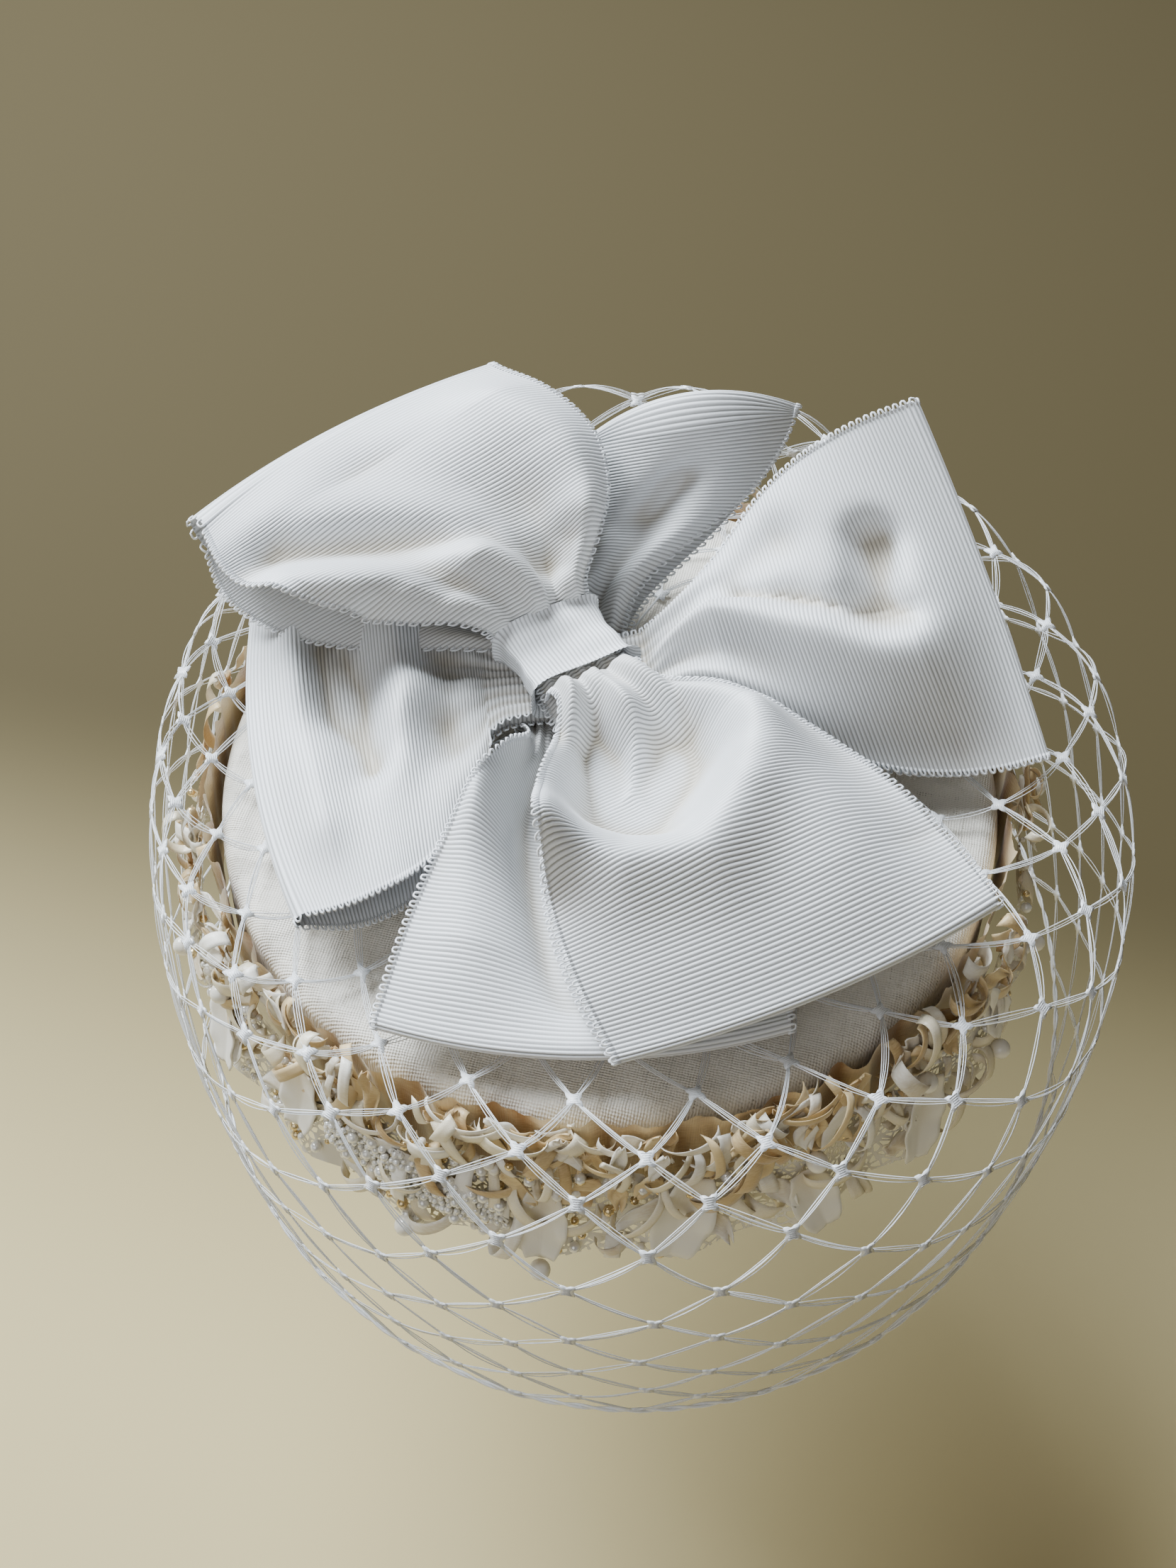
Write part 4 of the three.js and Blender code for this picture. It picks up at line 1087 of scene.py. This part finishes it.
def makeLeaves():
    draw = random.Random(garland["seed"] + 2)
    names = ["paleLeaves", "tanLeaves", "amberLeaves"]
    made = {name: {"parts": [], "tones": []} for name in names}
    u, v = np.linspace(0, 1, 15)[:, None], np.linspace(-1, 1, 9)
    for k in range(garland["leaves"]):
        name = draw.choice(["paleLeaves"] + names)
        length, width = draw.uniform(*leaf["length"]), draw.uniform(*leaf["width"])
        side = v * width / 2 * np.sin(math.pi * (0.06 + 0.9 * u)) ** 0.7 * (1 - 0.35 * u)
        along = (u - 0.5) * length
        wrinkle, phase = draw.uniform(*leaf["wrinkle"]), draw.uniform(0, tau)
        cup, tip = draw.uniform(*leaf["cup"]), draw.uniform(*leaf["tip"])
        off = cup * v * v * (0.3 + u) + tip * u**2.2 + wrinkle * np.sin(9 * u + 4 * v + phase)
        z = draw.uniform(*leaf["paleZ" if name == "paleLeaves" else "tanZ"])
        if k % 2 == 0:
            z, off = draw.uniform(*leaf["topZ"]), off - draw.uniform(*leaf["topInward"])
        angle, lean = garlandAngle(draw), draw.uniform(-leaf["lean"], leaf["lean"])
        tone = draw.uniform(0, 0.5) + 0.35 * u + 0.15 * v * v
        addTrim(made[name], overFrill(angle, z, along, side, off + 0.1, lean), tone)
    for name, material, slot in zip(names, (creamCloth, tanCloth, organza),
                                    ("petal_cloth", "petal_cloth", "organza")):
        points, faces = joined(made[name]["parts"])
        piece = addMesh(name, points, faces, material, np.zeros((len(points), 2)),
                        np.concatenate(made[name]["tones"]))
    print("leaves made")


# two close groups of beads at the left and the front, and the rest all round
def makeSeedBeads():
    draw = random.Random(garland["seed"] + 1)
    names = ["crystalBeads", "pearlSeeds", "giltBeads"]
    placed = {name: ([], [], []) for name in names}
    for k in range(garland["beads"]):
        name = draw.choice(["crystalBeads"] + names)
        spread = draw.random()
        if spread < 0.25:
            angle = math.radians(draw.gauss(*seedBead["leftTurn"]))
        elif spread < 0.6:
            angle = math.radians(draw.gauss(*seedBead["frontTurn"]))
        else:
            angle = draw.uniform(0, tau)
        z = draw.uniform(frill["bottom"] + 3, frill["top"] + 2)
        size = draw.choice(seedBead["sizes"])
        centre = onCircle(frillRadius(angle, frillShare(z), z) + frill["wall"] / 2, angle, z)
        for group, item in zip(placed[name], (centre, unit(centre * np.array([1, 1, 0])), size)):
            group.append(item)
    for name, material, slot in zip(names, (crystal, pearl, gold),
                                    ("bead_trim", "pearl", "bead_trim")):
        piece = addMesh(name, *scatterBeads(*placed[name]), material)
    print("seed beads made")


makeRuffle()
makeFrill()
for rows, make in ((petals, makePetal), (pearls, makePearlBead), (curls, makeCurl)):
    for number, row in enumerate(rows, 1):
        make(number, row)
makeApplique()
makeStrips()
makeLeaves()
makeSeedBeads()
print("garland made")

# the net's outline from its hub out and down to its hem: radius as a share of the crown's top
# radius, height above the hub as a share of the crown's
netProfile = table(
    "at radius up",
    (0.00, 0.494, 0),
    (0.22, 0.901, 0.061),
    (0.34, 1.074, 0.171),
    (0.44, 1.185, 0.216),
    (0.54, 1.265, 0.076),
    (0.68, 1.3025, -0.399),
    (0.84, 1.3025, -1.099),
    (1.00, 1.278, -1.774),
)
net = {
    "around": 26, "turn": math.radians(3.3), "right": 6.6, "front": 1.5, "oval": 2.6, "tilt": 11.0,
    "rings": [0, 0.07, 0.14, 0.21, 0.28, 0.375, 0.445, 0.513, 0.59, 0.665, 0.721, 0.777, 0.833,
              0.889, 0.944, 1.0],
    "ringWander": 0.006, "turnWander": 0.014, "thread": 0.115, "threads": 4, "splay": 0.62,
    "sag": 0.4, "knot": 2.15, "knotHeight": 0.16, "knotPoints": 16, "bar": 0.11, "hem": 0.32,
    "gather": 0.3, "seed": 3,
}
net["hub"] = hat["height"] + hat["seat"] + hat["hub"] / 2


def netPoint(at, angle):
    near = 1 - smooth(np.minimum(1, at / 0.35))
    side = smooth(np.clip((at - 0.28) / 0.3, 0, 1))
    shift = (net["right"] * np.cos(angle) - net["front"] * np.sin(angle)
             - net["oval"] * np.cos(2 * angle))
    radius = hat["topRadius"] * column(netProfile, "radius", at) + side * shift
    up = column(netProfile, "up", at) * hat["height"]
    return np.stack([radius * np.cos(angle) + near * bow["knotX"],
                     radius * np.sin(angle) + near * bow["knotY"],
                     net["hub"] + up + net["tilt"] * side * np.sin(angle)], -1)


# the net's directions at a place: down towards the hem, round the hat, and outward
def netFrame(at, angle):
    step = 0.004
    lower = netPoint(np.minimum(at + step, 1), angle)
    upper = netPoint(np.maximum(at - step, 0), angle)
    down = unit(lower - upper)
    level = unit(netPoint(at, angle + step) - netPoint(at, angle - step))
    return down, level, unit(np.cross(down, level))


# each side of a diamond is a few loose threads that spread between two knots
def netStrands(at, angle, draw):
    starts, ends = [], []
    for i in range(len(at) - 1):
        for j in range(net["around"]):
            for other in ((j + i % 2) % net["around"], (j + i % 2 - 1) % net["around"]):
                a, b = angle[i, j], angle[i + 1, other]
                starts.append((at[i, j], a))
                ends.append((at[i + 1, other], b + tau * round((a - b) / tau)))
    starts, ends = np.array(starts), np.array(ends)
    share = np.linspace(0, 1, 8)
    place = starts[:, None] * (1 - share[:, None]) + ends[:, None] * share[:, None]
    centre = netPoint(place[..., 0], place[..., 1])
    normal = netFrame(place[..., 0], place[..., 1])[2]
    side = unit(np.cross(normal, unit(np.gradient(centre, axis=1))))
    belly = np.sin(math.pi * share)
    parts = []
    for own in np.linspace(-1, 1, net["threads"]):
        loose = draw.uniform(0.5, 1.25, (len(starts), 1))
        splay = net["splay"] * own * loose * (0.3 + 0.7 * belly**0.7)
        sag = draw.uniform(-net["sag"], net["sag"], (len(starts), 1)) * belly
        paths = centre + side * splay[..., None] + normal * sag[..., None]
        run = unit(np.gradient(paths, axis=1))
        across = unit(np.cross(normal, run))
        parts.append(tubes(paths, across, unit(np.cross(run, across)), net["thread"]))
    return parts, len(starts)


# a woven star with hollow sides between its four arms, with raised bars across it
def netKnots(at, angle):
    centre = netPoint(at, angle).reshape(-1, 3)
    down, level, normal = (v.reshape(-1, 3) for v in netFrame(at, angle))
    corners, height = net["knotPoints"], net["knotHeight"]
    turns = np.arange(corners) / corners * tau
    arms = net["knot"] * (0.47 + 0.53 * np.abs(np.sin(2 * turns)) ** 2.4)
    rim = ((np.cos(turns) * arms)[:, None] * down[:, None]
           + (np.sin(turns) * arms)[:, None] * level[:, None])
    upper = centre[:, None] + rim + normal[:, None] * height
    lower = centre[:, None] + rim - normal[:, None] * height
    middles = np.stack([centre + normal * height * 1.3, centre - normal * height * 1.3], 1)
    faces = []
    for j in range(corners):
        n = (j + 1) % corners
        faces += [[2 * corners, j, n], [2 * corners + 1, corners + n, corners + j],
                  [j, corners + j, corners + n, n]]
    parts = [joined([(some, faces) for some in np.concatenate([upper, lower, middles], 1)])]
    lift = np.repeat(normal[:, None], 3, axis=1)
    side = np.repeat(down[:, None], 3, axis=1)
    for offset in (-1.0, -0.6, -0.2, 0.2, 0.6, 1.0):
        reach = 0.62 + 0.35 * offset**2
        middle = centre + down * offset
        line = np.stack([middle - level * reach, middle, middle + level * reach], 1)
        parts.append(tubes(line + lift * 0.2, side, lift, net["bar"]))
    return parts, len(centre)


# the hem: two heavier threads wound round each other from knot to knot
def netHem(rings):
    edge = np.arange(net["around"] * 16 + 1) / 16
    angle = net["turn"] + (edge + (rings - 1) % 2 / 2) / net["around"] * tau
    line = netPoint(np.ones_like(angle), angle)
    down, level, normal = netFrame(np.ones_like(angle), angle)
    scoop = 0.5 * (1 - np.abs(np.cos(edge * tau / 2)))
    parts = []
    for phase in (0, math.pi):
        sway = 0.35 * np.sin(edge * tau * 2 + phase) - scoop
        wind = 0.3 * np.cos(edge * tau * 2 + phase)
        wound = line + down * sway[:, None] + normal * wind[:, None]
        parts.append(tubes(wound[None], down[None], normal[None], net["hem"], 5))
    return parts


# gathered threads between the hub ring and the middle, under the bow
def netGather(angle):
    share = np.linspace(0, 1, 7)[:, None]
    hub = netPoint(0 * angle, angle)
    middle = np.array([bow["knotX"], bow["knotY"], net["hub"]])
    inner = (middle + (hub - middle) * 0.08)[:, None]
    paths = hub[:, None] * (1 - share) + inner * share
    up = np.broadcast_to(np.array([0, 0, 1.0]), paths.shape)
    across = unit(np.cross(up, unit(np.gradient(paths, axis=1))))
    return tubes(paths, across, up, net["gather"], 4)


def makeNet():
    draw = np.random.default_rng(net["seed"])
    rings = np.array(net["rings"])
    ring, k = np.meshgrid(np.arange(len(rings)), np.arange(net["around"]), indexing="ij")
    wander = draw.uniform(-1, 1, (2, *ring.shape))
    inner = (ring > 0) & (ring < len(rings) - 1)
    at = rings[ring] + net["ringWander"] * wander[0] * inner
    angle = net["turn"] + (k + (ring % 2) / 2) / net["around"] * tau
    angle = angle + net["turnWander"] * wander[1]
    strands, strandCount = netStrands(at, angle, draw)
    knots, knotCount = netKnots(at, angle)
    parts = strands + netHem(len(rings)) + [netGather(angle[0])]
    piece = addMesh("veilNetting", *joined(parts), netting)
    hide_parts("veil_net")
    stars = addMesh("veilKnots", *joined(knots), netting)
    print(f"net made with {strandCount} strands and {knotCount} knots")


makeNet()

# lengths of the floor, the lights and the camera are in metres
floor = {
    "z": -0.16, "half": 3.0, "pale": (0.50, 0.41, 0.205), "deep": (0.050, 0.036, 0.009),
    "near": -0.12, "far": 0.15, "slant": 0.24,
}
lights = table(
    "name place size power colour",
    ("windowLight", (-0.66, 0.72, 1.15), 1.0, 96.0, (0.845, 0.925, 1.0)),
    ("frontFill", (-0.6, -1.0, 0.95), 1.2, 7.0, (0.95, 0.97, 1.0)),
)
lightAim = (0, 0, 0.04)
room = {"colour": (0.85, 0.77, 0.64), "strength": 0.12}
# the photograph looks down at the hat from close by with a short lens
view = {
    "lens": 38.0, "sensor": 36.0, "nearest": 0.01, "above": 53.0, "away": 0.343,
    "aim": (-0.0045, -0.005, 0.040),
}


# the pale floor is painted darker behind the hat and to the right, as painted shade for the light's
# fall-off
def makeFloor():
    half, z = floor["half"], floor["z"]
    mesh = bpy.data.meshes.new("floor")
    mesh.from_pydata([(-half, -half, z), (half, -half, z), (half, half, z), (-half, half, z)], [],
                     [(0, 1, 2, 3)])
    made = newMaterial("paleFloor", floor["pale"], 0.9)
    split = node(made, "SeparateXYZ")
    link(made, node(made, "TexCoord").outputs["Object"], split.inputs["Vector"])
    slant = calc(made, "MULTIPLY_ADD", split.outputs["X"], floor["slant"], split.outputs["Y"])
    far = node(made, "MapRange", interpolation_type="SMOOTHSTEP")
    far.inputs["From Min"].default_value = floor["near"]
    far.inputs["From Max"].default_value = floor["far"]
    link(made, slant, far.inputs["Value"])
    # painted shade: the colour goes from pale in front to a deep, nearly black brown behind the hat
    # and to the right
    tint(made, far.outputs["Result"], floor["pale"], floor["deep"])
    mesh.materials.append(made)
    obj = bpy.data.objects.new("floor", mesh)
    bpy.context.scene.collection.objects.link(obj)


def makeLights():
    for row in lights:
        data = bpy.data.lights.new(row["name"], "AREA")
        data.size = row["size"]
        data.energy = row["power"]
        data.color = row["colour"]
        obj = bpy.data.objects.new(row["name"], data)
        obj.location = row["place"]
        towards = Vector(lightAim) - Vector(row["place"])
        obj.rotation_euler = towards.to_track_quat("-Z", "Y").to_euler()
        bpy.context.scene.collection.objects.link(obj)
    world = bpy.data.worlds.new("softRoom")
    world.use_nodes = True
    background = world.node_tree.nodes["Background"]
    background.inputs["Color"].default_value = (*room["colour"], 1)
    background.inputs["Strength"].default_value = room["strength"]
    bpy.context.scene.world = world


def makeCamera():
    data = bpy.data.cameras.new("camera")
    data.lens = view["lens"]
    data.sensor_width = view["sensor"]
    data.clip_start = view["nearest"]
    obj = bpy.data.objects.new("camera", data)
    angle = math.radians(view["above"])
    back = Vector((0, -math.cos(angle), math.sin(angle)))
    obj.location = Vector(view["aim"]) + back * view["away"]
    obj.rotation_euler = (math.pi / 2 - angle, 0, 0)
    bpy.context.scene.collection.objects.link(obj)
    bpy.context.scene.camera = obj


makeFloor()
makeLights()
makeCamera()
print("floor, lights and camera made")
